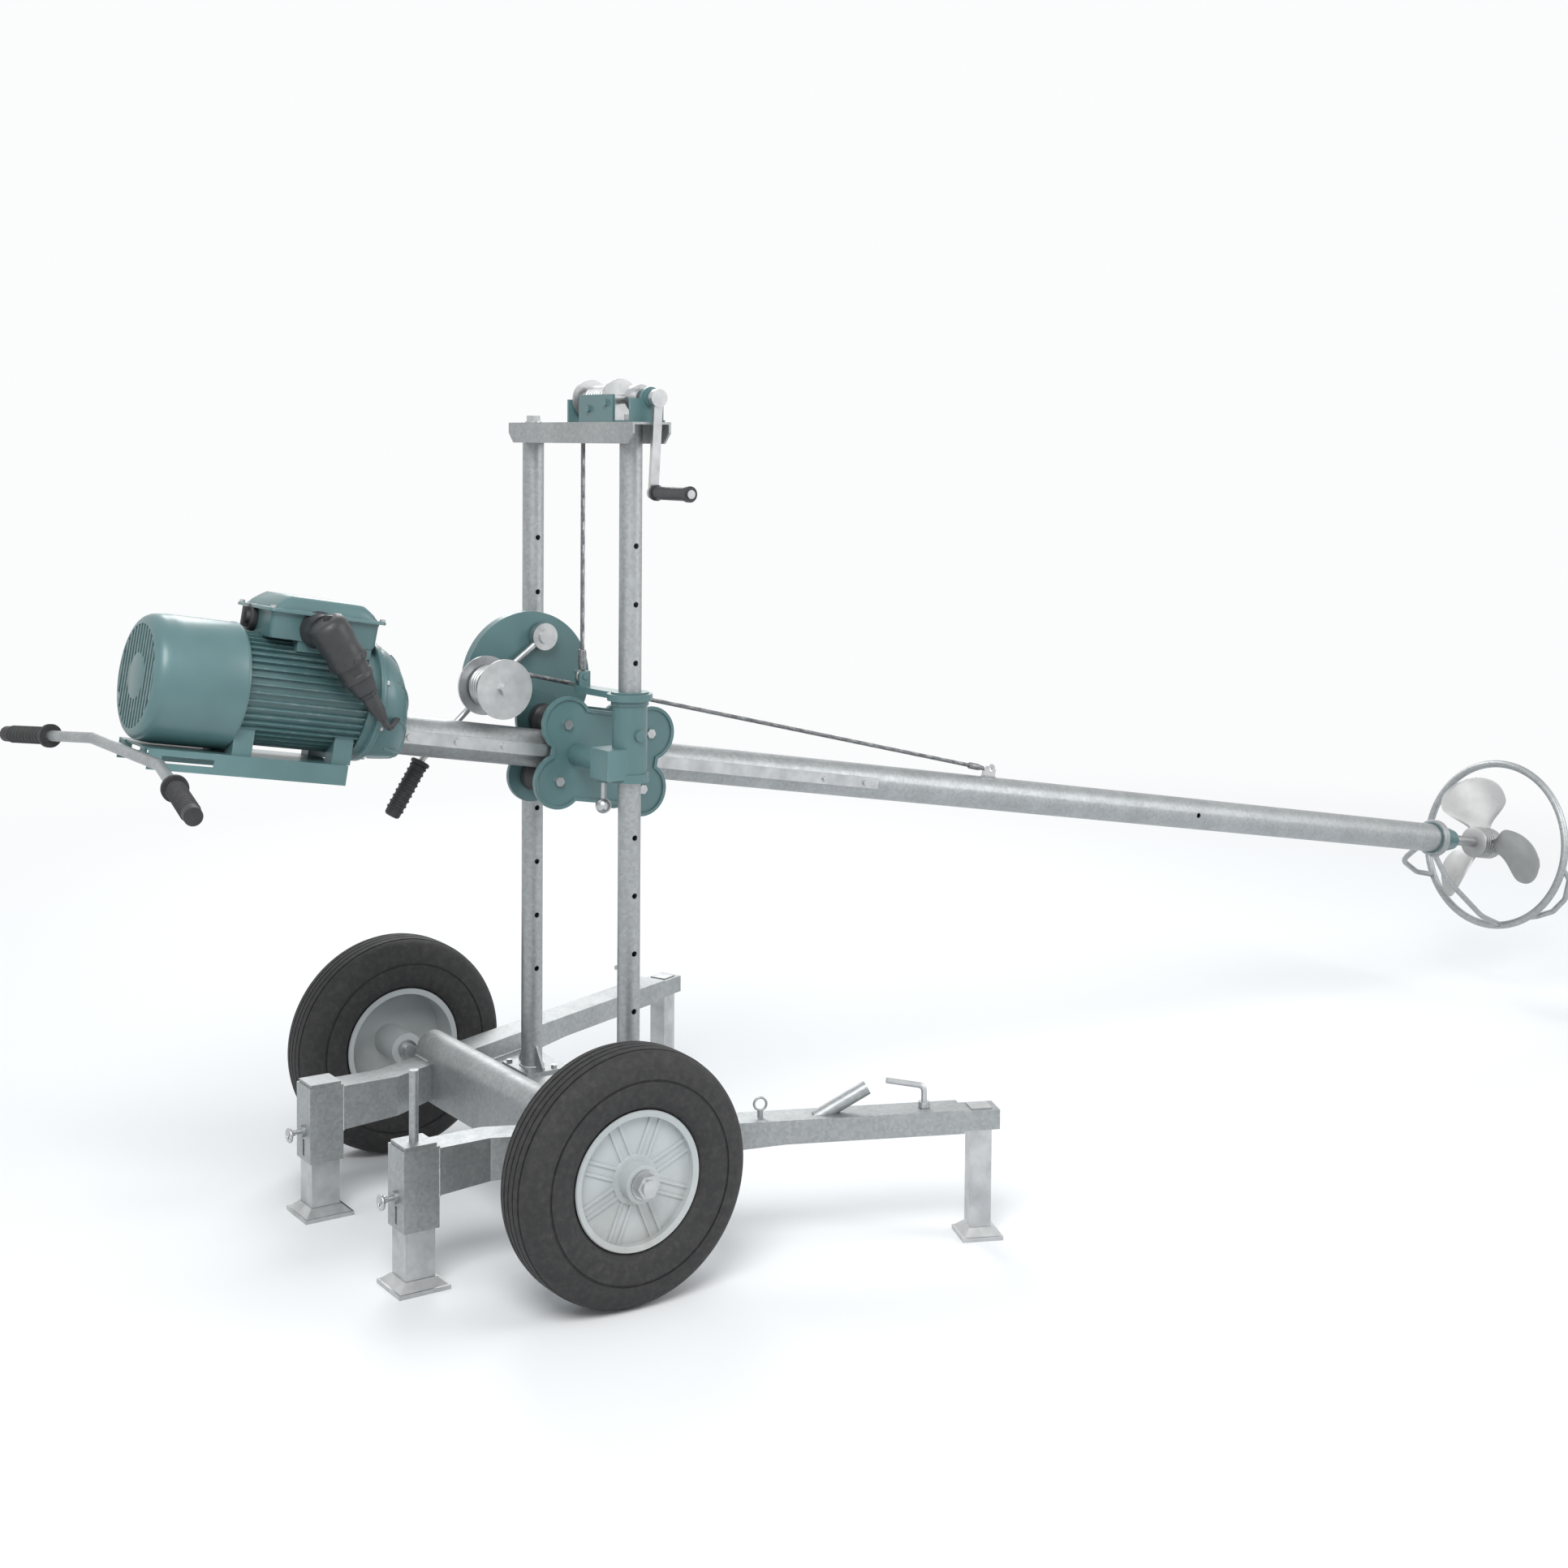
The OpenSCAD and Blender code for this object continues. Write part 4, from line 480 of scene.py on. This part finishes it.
class Shape:
    """Collects faces given in millimetres in one frame and makes one piece of them."""

    def __init__(self, frame_at=GROUND):
        self.frame_at = frame_at
        self.bm = bmesh.new()

    def skin(self, rings, wrap=False):
        """Joins closed rings of points one to the next; wrap joins the last to the first."""
        rows = [[self.bm.verts.new(p) for p in ring] for ring in rings]
        count = len(rows[0])
        pairs = list(zip(rows, rows[1:]))
        if wrap:
            pairs.append((rows[-1], rows[0]))
        for low, high in pairs:
            for i in range(count):
                j = (i + 1) % count
                self.bm.faces.new((low[i], low[j], high[j], high[i]))
        if not wrap:
            self.bm.faces.new(list(reversed(rows[0])))
            self.bm.faces.new(rows[-1])

    def lathe(self, profile, at=GROUND, sides=48, wrap=False):
        """Turns (height, radius) points about the local z axis."""
        rings = []
        for height, radius in profile:
            flat = circle(radius, (0.0, 0.0, height), "z", sides)
            rings.append([at @ point for point in flat])
        self.skin(rings, wrap=wrap)

    def block(self, low, high, at=GROUND, bevel=0.0):
        """A box with chamfered edges."""
        made = bmesh.ops.create_cube(self.bm, size=1.0)["verts"]
        for vert in made:
            vert.co = Vector([low[i] + (vert.co[i] + 0.5) * (high[i] - low[i]) for i in range(3)])
        if bevel > 0:
            edges = {edge for vert in made for edge in vert.link_edges}
            result = bmesh.ops.bevel(
                self.bm, geom=list(edges), offset=bevel, segments=2, profile=0.7, affect="EDGES")
            cut = {vert for face in result["faces"] for vert in face.verts}
            made = list(cut | {vert for vert in made if vert.is_valid})
        for vert in made:
            vert.co = at @ vert.co

    def tube(self, points, radius, sides=12, wrap=False):
        """A round bar along a path. radius is one number or one for each point."""
        path = [Vector(p) for p in points]
        count = len(path)
        sizes = [radius] * count if isinstance(radius, (int, float)) else radius
        up = None
        rings = []
        for i, here in enumerate(path):
            before = path[i - 1] if (i or wrap) else here
            after = path[(i + 1) % count] if (i < count - 1 or wrap) else here
            run = (after - before).normalized()
            if up is None:
                up = run.orthogonal().normalized()
            up = (up - run * up.dot(run)).normalized()
            side = run.cross(up)
            rings.append([
                here + sizes[i] * (math.cos(a) * up + math.sin(a) * side)
                for a in (2 * math.pi * k / sides for k in range(sides))
            ])
        self.skin(rings, wrap=wrap)

    def weld(self, points, radius, wrap=False):
        """A rippled weld bead along a path."""
        path = [Vector(p) for p in points]
        if wrap:
            path.append(path[0])
        step = radius * 0.45
        fine = []
        for first, second in zip(path, path[1:]):
            count = max(1, round((second - first).length / step))
            fine += [first.lerp(second, k / count) for k in range(count)]
        if not wrap:
            fine.append(path[-1])
        sizes = [radius * (1.0 + 0.16 * math.sin(k * 2.1)) for k in range(len(fine))]
        self.tube(fine, sizes, sides=8, wrap=wrap)

    def piece(self, name, body, slot, stands_for=(), smooth=35.0, ride=True):
        """Makes the object where it is at rest, with its body, its finish and the nodes it replaces."""
        bmesh.ops.recalc_face_normals(self.bm, faces=self.bm.faces)
        data = bpy.data.meshes.new(name)
        self.bm.to_mesh(data)
        self.bm.free()
        data.transform(self.frame_at @ Matrix.Scale(MM, 4))
        data.polygons.foreach_set("use_smooth", [True] * len(data.polygons))
        data.set_sharp_from_angle(angle=math.radians(smooth))
        data.materials.append(FINISHES[slot])
        made = bpy.data.objects.new(name, data)
        bpy.context.collection.objects.link(made)
        if ride:
            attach(made, body)
        if stands_for:
            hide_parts(*stands_for)
        return made


def circle(radius, centre=(0.0, 0.0, 0.0), axis="z", count=48):
    """Points round a circle square to an axis."""
    out = []
    for i in range(count):
        a = 2 * math.pi * i / count
        c, s = radius * math.cos(a), radius * math.sin(a)
        offset = {"x": (0.0, c, s), "y": (c, 0.0, s), "z": (c, s, 0.0)}[axis]
        out.append(Vector(centre) + Vector(offset))
    return out


def rounded_box(x1, x2, y1, y2, r, steps=5):
    """Outline of a rectangle with round corners."""
    out = []
    corners = ((x2 - r, y2 - r, 0), (x1 + r, y2 - r, 90), (x1 + r, y1 + r, 180), (x2 - r, y1 + r, 270))
    for cx, cy, turn in corners:
        for k in range(steps + 1):
            a = math.radians(turn + 90 * k / steps)
            out.append((cx + r * math.cos(a), cy + r * math.sin(a)))
    return out


def strands(shape, start, stop, pitch=34.0):
    """Six wires laid round a core from start to stop."""
    start, stop = Vector(start), Vector(stop)
    run = stop - start
    along = run.normalized()
    up = along.orthogonal().normalized()
    side = along.cross(up)
    wire_r = ROPE_R * 0.36
    lay_r = ROPE_R - wire_r
    steps = max(8, int(run.length / pitch * 10))
    for wire in range(6):
        path = []
        for k in range(steps + 1):
            t = k / steps
            a = 2 * math.pi * (wire / 6 + t * run.length / pitch)
            path.append(start + run * t + lay_r * (math.cos(a) * up + math.sin(a) * side))
        shape.tube(path, wire_r, sides=6)
    shape.tube([start, stop], ROPE_R * 0.4, sides=6)


def cowl():
    """Fan cowl whose end has upright bars round a blank middle, as drawn, and a black disc behind them:
    painted shade for the dim inside seen through the slots.
    """
    at = BOOM @ Matrix.Translation((0, 0, MOTOR_RISE * MM))
    shape = Shape(at)
    back, front = -COWL_BACK, -MOTOR_BACK + 26.0
    grille_r = COWL_R - 24.0
    outer = [
        (back, grille_r), (back + 1.2, grille_r + 6), (back + 4, grille_r + 11.5),
        (back + 9, grille_r + 16.5), (back + 17, grille_r + 20.5), (back + 28, COWL_R - 1.6),
        (back + 44, COWL_R - 0.4), (back + 46, COWL_R), (back + 60, COWL_R), (front - 9, COWL_R),
        (front - 7, COWL_R + 1.4), (front - 3, COWL_R + 1.4), (front, COWL_R),
    ]
    inner = [
        (front, COWL_R - 3), (back + 60, COWL_R - 3), (back + 30, COWL_R - 5), (back + 14, grille_r + 14),
        (back + 6, grille_r + 6), (back + 3, grille_r - 1),
    ]
    shape.lathe(outer + inner, ALONG_X, sides=96, wrap=True)
    pitch, bar_w = 15.5, 6.6
    reach = grille_r + 1.5
    count = int(reach / pitch)
    for k in range(-count, count + 1):
        y = k * pitch
        half = math.sqrt(max(reach ** 2 - (abs(y) + bar_w / 2) ** 2, 0.0))
        shape.block((back + 0.2, y - bar_w / 2, -half), (back + 3.0, y + bar_w / 2, half), bevel=0.9)
    blank = [(back - 0.6, 0.4), (back - 0.6, 42), (back + 0.6, 45), (back + 3.4, 45), (back + 3.4, 0.4)]
    shape.lathe(blank, ALONG_X)
    shape.piece("cowl_shell", "boom", "paint", ["fan_cowl"])

    # Black disc just behind the bars: painted shade that darkens the slots in place of the dim inside of
    # the cowl.
    shape = Shape(at)
    shade_disc = [(back + 5, 0.5), (back + 5, grille_r), (back + 6.5, grille_r), (back + 6.5, 0.5)]
    shape.lathe(shade_disc, ALONG_X)
    shape.piece("cowl_painted_shade_disc", "boom", "black_plastic")


def bell_housing():
    """Drive housing: a cast bell that rounds down from the motor's flange to a collar on the tube."""
    back, front = -HOUSING_BACK, -BOOM_BACK
    shape = Shape(BOOM)
    rings = []

    def ring(x, radius, centre_z):
        return [Vector((x, radius * math.sin(a), centre_z + radius * math.cos(a)))
                for a in (2 * math.pi * k / 72 for k in range(72))]

    def shoulder(degrees):
        """Place, radius and centre of the bell's shoulder: 0 is at the flange, 90 at the collar."""
        a = math.radians(degrees)
        x = back + 13 + (front - back - 13) * math.sin(a)
        radius = COLLAR_R + (COWL_R - 10 - COLLAR_R) * math.cos(a)
        return x, radius, COLLAR_RISE + (MOTOR_RISE - COLLAR_RISE) * math.cos(a) ** 0.9

    for x, radius in ((back, 30.0), (back, COWL_R - 2), (back + 1, COWL_R - 1), (back + 11, COWL_R - 1),
                      (back + 12, COWL_R - 2), (back + 12.2, COWL_R - 9)):
        rings.append(ring(x, radius, MOTOR_RISE))
    for k in range(15):
        rings.append(ring(*shoulder(6 * k)))
    rings.append(ring(front, COLLAR_R, COLLAR_RISE))
    rings.append(ring(front, 30, COLLAR_RISE))
    shape.skin(rings)
    for k in range(9):
        turn = math.radians(40 * k + 20)
        path = []
        for step in range(4, 15):
            x, radius, centre_z = shoulder(6 * step)
            out = radius - 1.0
            path.append((x, out * math.sin(turn), centre_z + out * math.cos(turn)))
        shape.tube(path, 3.4, sides=8)
    collar = [(front - 4, 42), (front - 4, 50), (front + 8, 49), (front + 10, 47.5), (front + 10, 42)]
    shape.lathe(collar, ALONG_X, sides=64, wrap=True)
    shape.piece("drive_bell", "boom", "paint", ["drive_housing"], smooth=50.0)

    shape = Shape(BOOM)
    bolt_circle_r = 120.0
    under, top = back + 11.5, back + 17.6
    head = [(under, 0.4), (under, 5.6), (top - 0.6, 5.6), (top, 4.9), (top, 0.4)]
    for k in range(8):
        a = math.radians(22.5 + 45 * k)
        centre = Vector((0, bolt_circle_r * math.sin(a), MOTOR_RISE + bolt_circle_r * math.cos(a)))
        shape.lathe(head, Matrix.Translation(centre) @ ALONG_X, sides=6)
    shape.piece("bell_bolts", "boom", "zinc")


def terminal_case():
    """Terminal box on its foot, its arched lid and the lid's corner screws."""
    back, front, half_y = CASE_BACK, CASE_FRONT, 84.0
    low, rim = 170.0, 222.0
    shape = Shape(BOOM)
    rings = []
    for z, grow in ((low, -3.0), (low + 8, -1.0), (rim - 6, 0.0), (rim, 1.5)):
        outline = rounded_box(back - grow, front + grow, -half_y - grow, half_y + grow, 12.0)
        rings.append([Vector((x, y, z)) for x, y in outline])
    shape.skin(rings)
    shape.block((back + 62, -half_y + 6, 148), (front - 8, half_y - 6, low + 2), bevel=3.0)
    for y in (-52.0, 0.0, 52.0):
        shape.block((back + 64, y - 2, 150), (front - 8, y + 2, low), bevel=0.6)
    shape.piece("terminal_case", "boom", "paint", ["terminal_box"])

    shape = Shape(BOOM)
    edge = 11.0
    x1, x2 = back - edge, front + edge
    rings = []
    for drop, lift in ((0.0, 0.0), (0.0, 5.0), (1.6, 6.6)):
        outline = rounded_box(x1 + drop, x2 - drop, -half_y - edge + drop, half_y + edge - drop, 13.0)
        rings.append([Vector((x, y, rim + lift)) for x, y in outline])
    shape.skin(rings)
    steps = 26
    arch_rise = 30.0
    arch = []
    for k in range(steps + 1):
        t = k / steps
        x = x1 + 16 + (x2 - x1 - 32) * t
        rise = arch_rise * min(1.0, math.sin(math.pi * t) * 2.1) ** 0.62
        arch.append((x, rise))
    rows = []
    for y, keep in ((-half_y - 2, 0.0), (-half_y + 1, 0.55), (-half_y + 8, 0.86), (-half_y + 18, 1.0),
                    (half_y - 18, 1.0), (half_y - 8, 0.86), (half_y - 1, 0.55), (half_y + 2, 0.0)):
        row = [Vector((x, y, rim + 5 + rise * keep)) for x, rise in arch]
        row += [Vector((arch[-1][0], y, rim + 2)), Vector((arch[0][0], y, rim + 2))]
        rows.append(row)
    shape.skin(rows)
    shape.piece("terminal_cover", "boom", "paint", ["terminal_lid"], smooth=50.0)

    shape = Shape(BOOM)
    head = [(rim + 5, 0.4), (rim + 5, 5.6), (rim + 10, 5.6), (rim + 11, 4.6), (rim + 11, 0.4)]
    for x in (x1 + 9, x2 - 9):
        for y in (-half_y - 2, half_y + 2):
            shape.lathe(head, Matrix.Translation((x, y, 0)), sides=24)
            shape.block((x - 4.4, y - 0.7, rim + 10.6), (x + 4.4, y + 0.7, rim + 11.4))
    shape.piece("cover_screws", "boom", "zinc")


def switch():
    """Rotary switch: a round collar with a bar handle on the case's rear face."""
    shape = Shape(BOOM)
    at = Matrix.Translation((0.0, SWITCH_Y, SWITCH_UP)) @ ALONG_X
    shape.lathe([(-788, 0.4), (-788, 24), (-786, 27), (-776, 28), (-724, 10), (-724, 0.4)], at, sides=40)
    shape.block((-800, SWITCH_Y - 5, SWITCH_UP - 21), (-787, SWITCH_Y + 5, SWITCH_UP + 21), bevel=2.4)
    shape.lathe([(-795, 0.4), (-795, 13), (-787, 15), (-787, 0.4)], at, sides=32)
    shape.piece("rotary_switch", "switch", "black_plastic", ["switch_knob"])


def plug():
    """Angled inlet, plug body with its clamp ring, gland and lead."""
    start = Vector((-680.0, PLUG_Y, 196.0))
    stop = Vector((-541.0, PLUG_Y, 36.0))
    run = stop - start
    turn = Matrix.Translation(start) @ run.to_track_quat("Z", "Y").to_matrix().to_4x4()
    length = run.length
    shape = Shape(BOOM)
    body = [
        (-27, 0.4), (-27, 24), (-25, 31), (-20, 36), (-10, 39), (22, 39), (27, 37.5), (52, 36.5), (58, 39),
        (62, 39.6), (72, 39.6), (76, 37), (77, 33), (96, 31.5), (99, 33.5), (108, 33.5), (111, 30),
        (126, 26.5), (140, 24), (143, 20), (150, 19.5), (152, 17),
        (length - 24, 15), (length - 4, 9.5), (length, 8), (length, 0.4),
    ]
    shape.lathe(body, turn, sides=40)
    for k in range(12):
        spin = turn @ Matrix.Rotation(math.radians(30 * k), 4, "Z")
        shape.block((38.6, -2.4, 62.5), (40.6, 2.4, 71.5), spin, bevel=0.7)
        shape.block((17.5, -1.6, 143), (20.4, 1.6, 150), spin, bevel=0.4)
    shape.block((-18, -7, -22), (18, 7, -3), Matrix.Translation(start + Vector((0, 0, 36))), bevel=3.0)
    neck = Matrix.Translation((start.x, 0, start.z)) @ ALONG_Y
    inlet = [(-122, 0.4), (-122, 31), (-96, 33), (-90, 37), (-83.5, 37), (-83.5, 0.4)]
    shape.lathe(inlet, neck, sides=40)
    unit = run.normalized()
    lead = filleted([stop - unit * 8, stop + unit * 22, (-BOOM_BACK - 34, -94, 40)], 16, 8)
    shape.tube(lead, 6.5, sides=14)
    shape.piece("plug_assembly", "boom", "black_plastic", ["plug_and_lead"])


def ropes():
    """Twisted wire ropes in place of the plain round ones."""
    shape = Shape()
    foot = Vector((ROPE_X, ROPE_Y, ROPE_LOW))
    top = Vector((ROPE_X, ROPE_Y, ROPE_TOP))
    strands(shape, foot + Vector((0, 0, 40)), top)
    swage = [(-6, 0.4), (-6, 6), (6, 8.5), (12, 9), (34, 9), (42, 7.5), (42, 0.4)]
    shape.lathe(swage, Matrix.Translation(foot), sides=24)
    shape.tube(circle(12.0, (ROPE_X, ROPE_Y, EYE_Z), "y"), 4.5, sides=12, wrap=True)
    piece = shape.piece("hoist_rope_strands", "", "rope", ["hoist_rope"], ride=False)
    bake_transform(piece)

    shape = Shape(BOOM)
    start = Vector((DRUM_L, 0.0, HAUL_START_UP))
    stop = Vector((HAUL_EYE_L - 17.0, 0.0, BOOM_R + 20.0))
    unit = (stop - start).normalized()
    strands(shape, start, stop - unit * 46)
    turn = Matrix.Translation(stop - unit * 50) @ unit.to_track_quat("Z", "Y").to_matrix().to_4x4()
    shape.lathe([(0, 0.4), (0, 6), (3, 8), (32, 8), (38, 6.4), (50, 5), (50, 0.4)], turn, sides=24)
    piece = shape.piece("haul_rope_strands", "", "rope", ["haul_rope"], ride=False)
    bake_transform(piece)


def smooth_step(t):
    """Rises from 0 to 1 with level ends."""
    t = min(max(t, 0.0), 1.0)
    return t * t * (3 - 2 * t)


def propeller():
    """Cast propeller: broad twisted blades that swell into a grooved hub with a rounded nose."""
    tip_r, root_r = 202.0, 38.0
    centre = Matrix.Translation((PROPELLER_L, 0, 0))
    shape = Shape(BOOM)
    hub = [(-52, 0.5), (-52, 16), (-52, 44), (-50, 46)]
    for k in range(4):
        x = -43 + k * 11
        hub += [(x - 2.6, 46), (x - 1.8, 44.5), (x - 1.6, 41)]
        hub += [(x + 1.6, 41), (x + 1.8, 44.5), (x + 2.6, 46)]
    hub += [(24, 46), (32, 44), (41, 39), (47, 32), (50.5, 24), (51.8, 14), (52, 0.5)]
    shape.lathe(hub, centre @ ALONG_X, sides=64)
    spans, across = 26, 14
    front_side = [(-1 + 2 * j / across, 1) for j in range(across)]
    back_side = [(1 - 2 * j / across, -1) for j in range(across)]
    for k in range(3):
        place = centre @ Matrix.Rotation(math.radians(120 * k - 22), 4, "X")
        rings = []
        for i in range(spans + 1):
            t = 1 - (1 - i / spans) ** 1.35
            r = root_r + (tip_r - root_r) * t
            if t < 0.5:
                half = 29.0 + 66.0 * smooth_step(t / 0.5)
            else:
                half = 95.0 * math.sqrt(max(1 - ((t - 0.5) / 0.5) ** 2.3, 0.03))
            pitch = math.radians(46.0 - 19.0 * t)
            chord = Vector((-math.sin(pitch), math.cos(pitch), 0.0))
            face = Vector((-math.cos(pitch), -math.sin(pitch), 0.0))
            thick = 6.5 - 3.2 * t + 5.0 * math.exp(-t * 16)
            skew = 7.0 * math.sin(math.pi * t)
            ring = []
            for v, sign in front_side + back_side:
                lean = half * v
                dish = lean * lean / 560.0 * smooth_step(t * 3)
                edge = max(1.0 - abs(v) ** 3.2, 0.0) ** 0.5
                off = dish + sign * (0.5 + edge * thick / 2)
                ring.append(place @ (Vector((0, 0, r)) + chord * (lean + skew) + face * off))
            rings.append(ring)
        shape.skin(rings)
    shape.piece("cast_propeller", "propeller", "shaft_steel", ["propeller"], smooth=50.0)


def guard():
    """Ring guard: bent stays to a split collar and a bumper loop where the drawing has them."""
    bar_r, stay_r = 11.0, 8.0
    foot_l = BOOM_FRONT + 13
    shape = Shape(BOOM)
    shape.tube(circle(RING_R, (RING_L, 0, 0), "x", 96), bar_r, sides=20, wrap=True)
    collar = [(2, 45.4), (2, 52), (3.5, 53.5), (22.5, 53.5), (24, 52), (24, 45.4)]
    collar_at = Matrix.Translation((BOOM_FRONT, 0, 0)) @ ALONG_X
    shape.lathe(collar, collar_at, sides=64, wrap=True)
    for turn, low_r, high_r in ((166.0, 120.0, 222.0), (-122.0, 165.0, 236.0)):
        at = Matrix.Rotation(math.radians(turn), 4, "X")
        corners = [
            (foot_l, 0, 49), (BOOM_FRONT + 62, 0, low_r), (RING_L - 92, 0, high_r), (RING_L, 0, RING_R),
        ]
        shape.tube([at @ p for p in filleted(corners, 110, 10)], stay_r, sides=14)
        foot = [at @ Vector((foot_l + 10 * math.cos(a), 10 * math.sin(a), 53.5))
                for a in (2 * math.pi * k / 20 for k in range(20))]
        shape.weld(foot, 3.0, wrap=True)
        joint = [at @ Vector((RING_L - 11, 9 * math.cos(a), RING_R - 1 + 7 * math.sin(a)))
                 for a in (2 * math.pi * k / 18 for k in range(18))]
        shape.weld(joint, 2.6, wrap=True)
    loop = []
    for turn, out, ahead in ((98.0, 0.0, 0.0), (104.0, 14.0, 30.0), (118.0, 20.0, 46.0),
                             (130.0, 16.0, 44.0), (140.0, 4.0, 26.0), (144.0, 0.0, 0.0)):
        at = Matrix.Rotation(math.radians(turn), 4, "X")
        loop.append(at @ Vector((RING_L + ahead, 0, RING_R + out)))
    shape.tube(filleted(loop, 26, 6), stay_r, sides=14)
    shape.piece("guard_cage", "boom", "galvanised", ["propeller_guard"])


def lever_grip():
    """Ribbed rubber sleeve on the haul winch lever."""
    bend = Vector((-331.8, 81.0, -52.9))
    tip = Vector((-379.5, 81.0, -169.2))
    turn = Matrix.Translation(bend) @ (tip - bend).to_track_quat("Z", "Y").to_matrix().to_4x4()
    profile = [(6, 0.4), (6, 8), (6, 19), (8, 21), (13, 21), (15, 18)]
    for k in range(9):
        h = 20 + k * 12.4
        profile += [(h - 3, 17), (h - 1.6, 19.2), (h + 1.6, 19.2), (h + 3, 17)]
    profile += [(131, 17), (135, 15.5), (137, 12), (137.5, 0.4)]
    shape = Shape(BOOM)
    shape.lathe(profile, turn, sides=32)
    shape.piece("lever_sleeve", "haul_lever", "grip_rubber")


def frame_welds():
    """Weld beads where the trolley's steel members meet."""
    beam_turn = math.atan2(645 - BEAM_Y, 805 + 150)
    inner = 36 / math.cos(beam_turn)
    tube_x = -269.5
    shape = Shape(Matrix.Translation((BODY_X * MM, 0, 0)))
    for side in (-1, 1):
        shape.weld(circle(MAST_R, (MAST_X, side * MAST_Y, 249.0), "z", 40), 2.8, wrap=True)
        y = side * BEAM_Y
        low, high = y - BEAM_HALF, y + BEAM_HALF
        shape.weld([(tube_x, low, 184), (tube_x, low, 279), (tube_x, low + 3, BEAM_TOP),
                    (tube_x, high - 3, BEAM_TOP), (tube_x, high, 279), (tube_x, high, 184)], 2.2)
        ends = []
        for x in (116, 274):
            beam_y = BEAM_Y + (x + 150) * math.tan(beam_turn)
            ends.append((x, side * (beam_y - inner - 0.5), 241))
        shape.weld(ends, 2.8)
        for x in (-41, 41):
            shape.weld([(x, side * 267, BEAM_TOP), (x, side * 329, BEAM_TOP)], 2.8)
        for x in (-41, 41):
            shape.weld([(x, side * 262, 196), (x, side * 262, 278)], 2.6)
    shape.piece("frame_weld_beads", "trolley", "galvanised")


def boom_welds():
    """Weld beads of the rope eye and the rear flange."""
    shape = Shape(BOOM)
    for y in (-5.2, 5.2):
        shape.weld([(HAUL_EYE_L - 15, y, BOOM_R + 0.6), (HAUL_EYE_L + 21, y, BOOM_R + 0.6)], 2.4)
    shape.weld(circle(BOOM_R + 1.6, (-BOOM_BACK + 1.4, 0, 0), "x", 48), 2.8, wrap=True)
    shape.piece("boom_weld_beads", "boom", "galvanised")


make_camera()
make_stage()
dress_nodes()
cowl()
bell_housing()
terminal_case()
switch()
plug()
ropes()
propeller()
guard()
lever_grip()
frame_welds()
boom_welds()
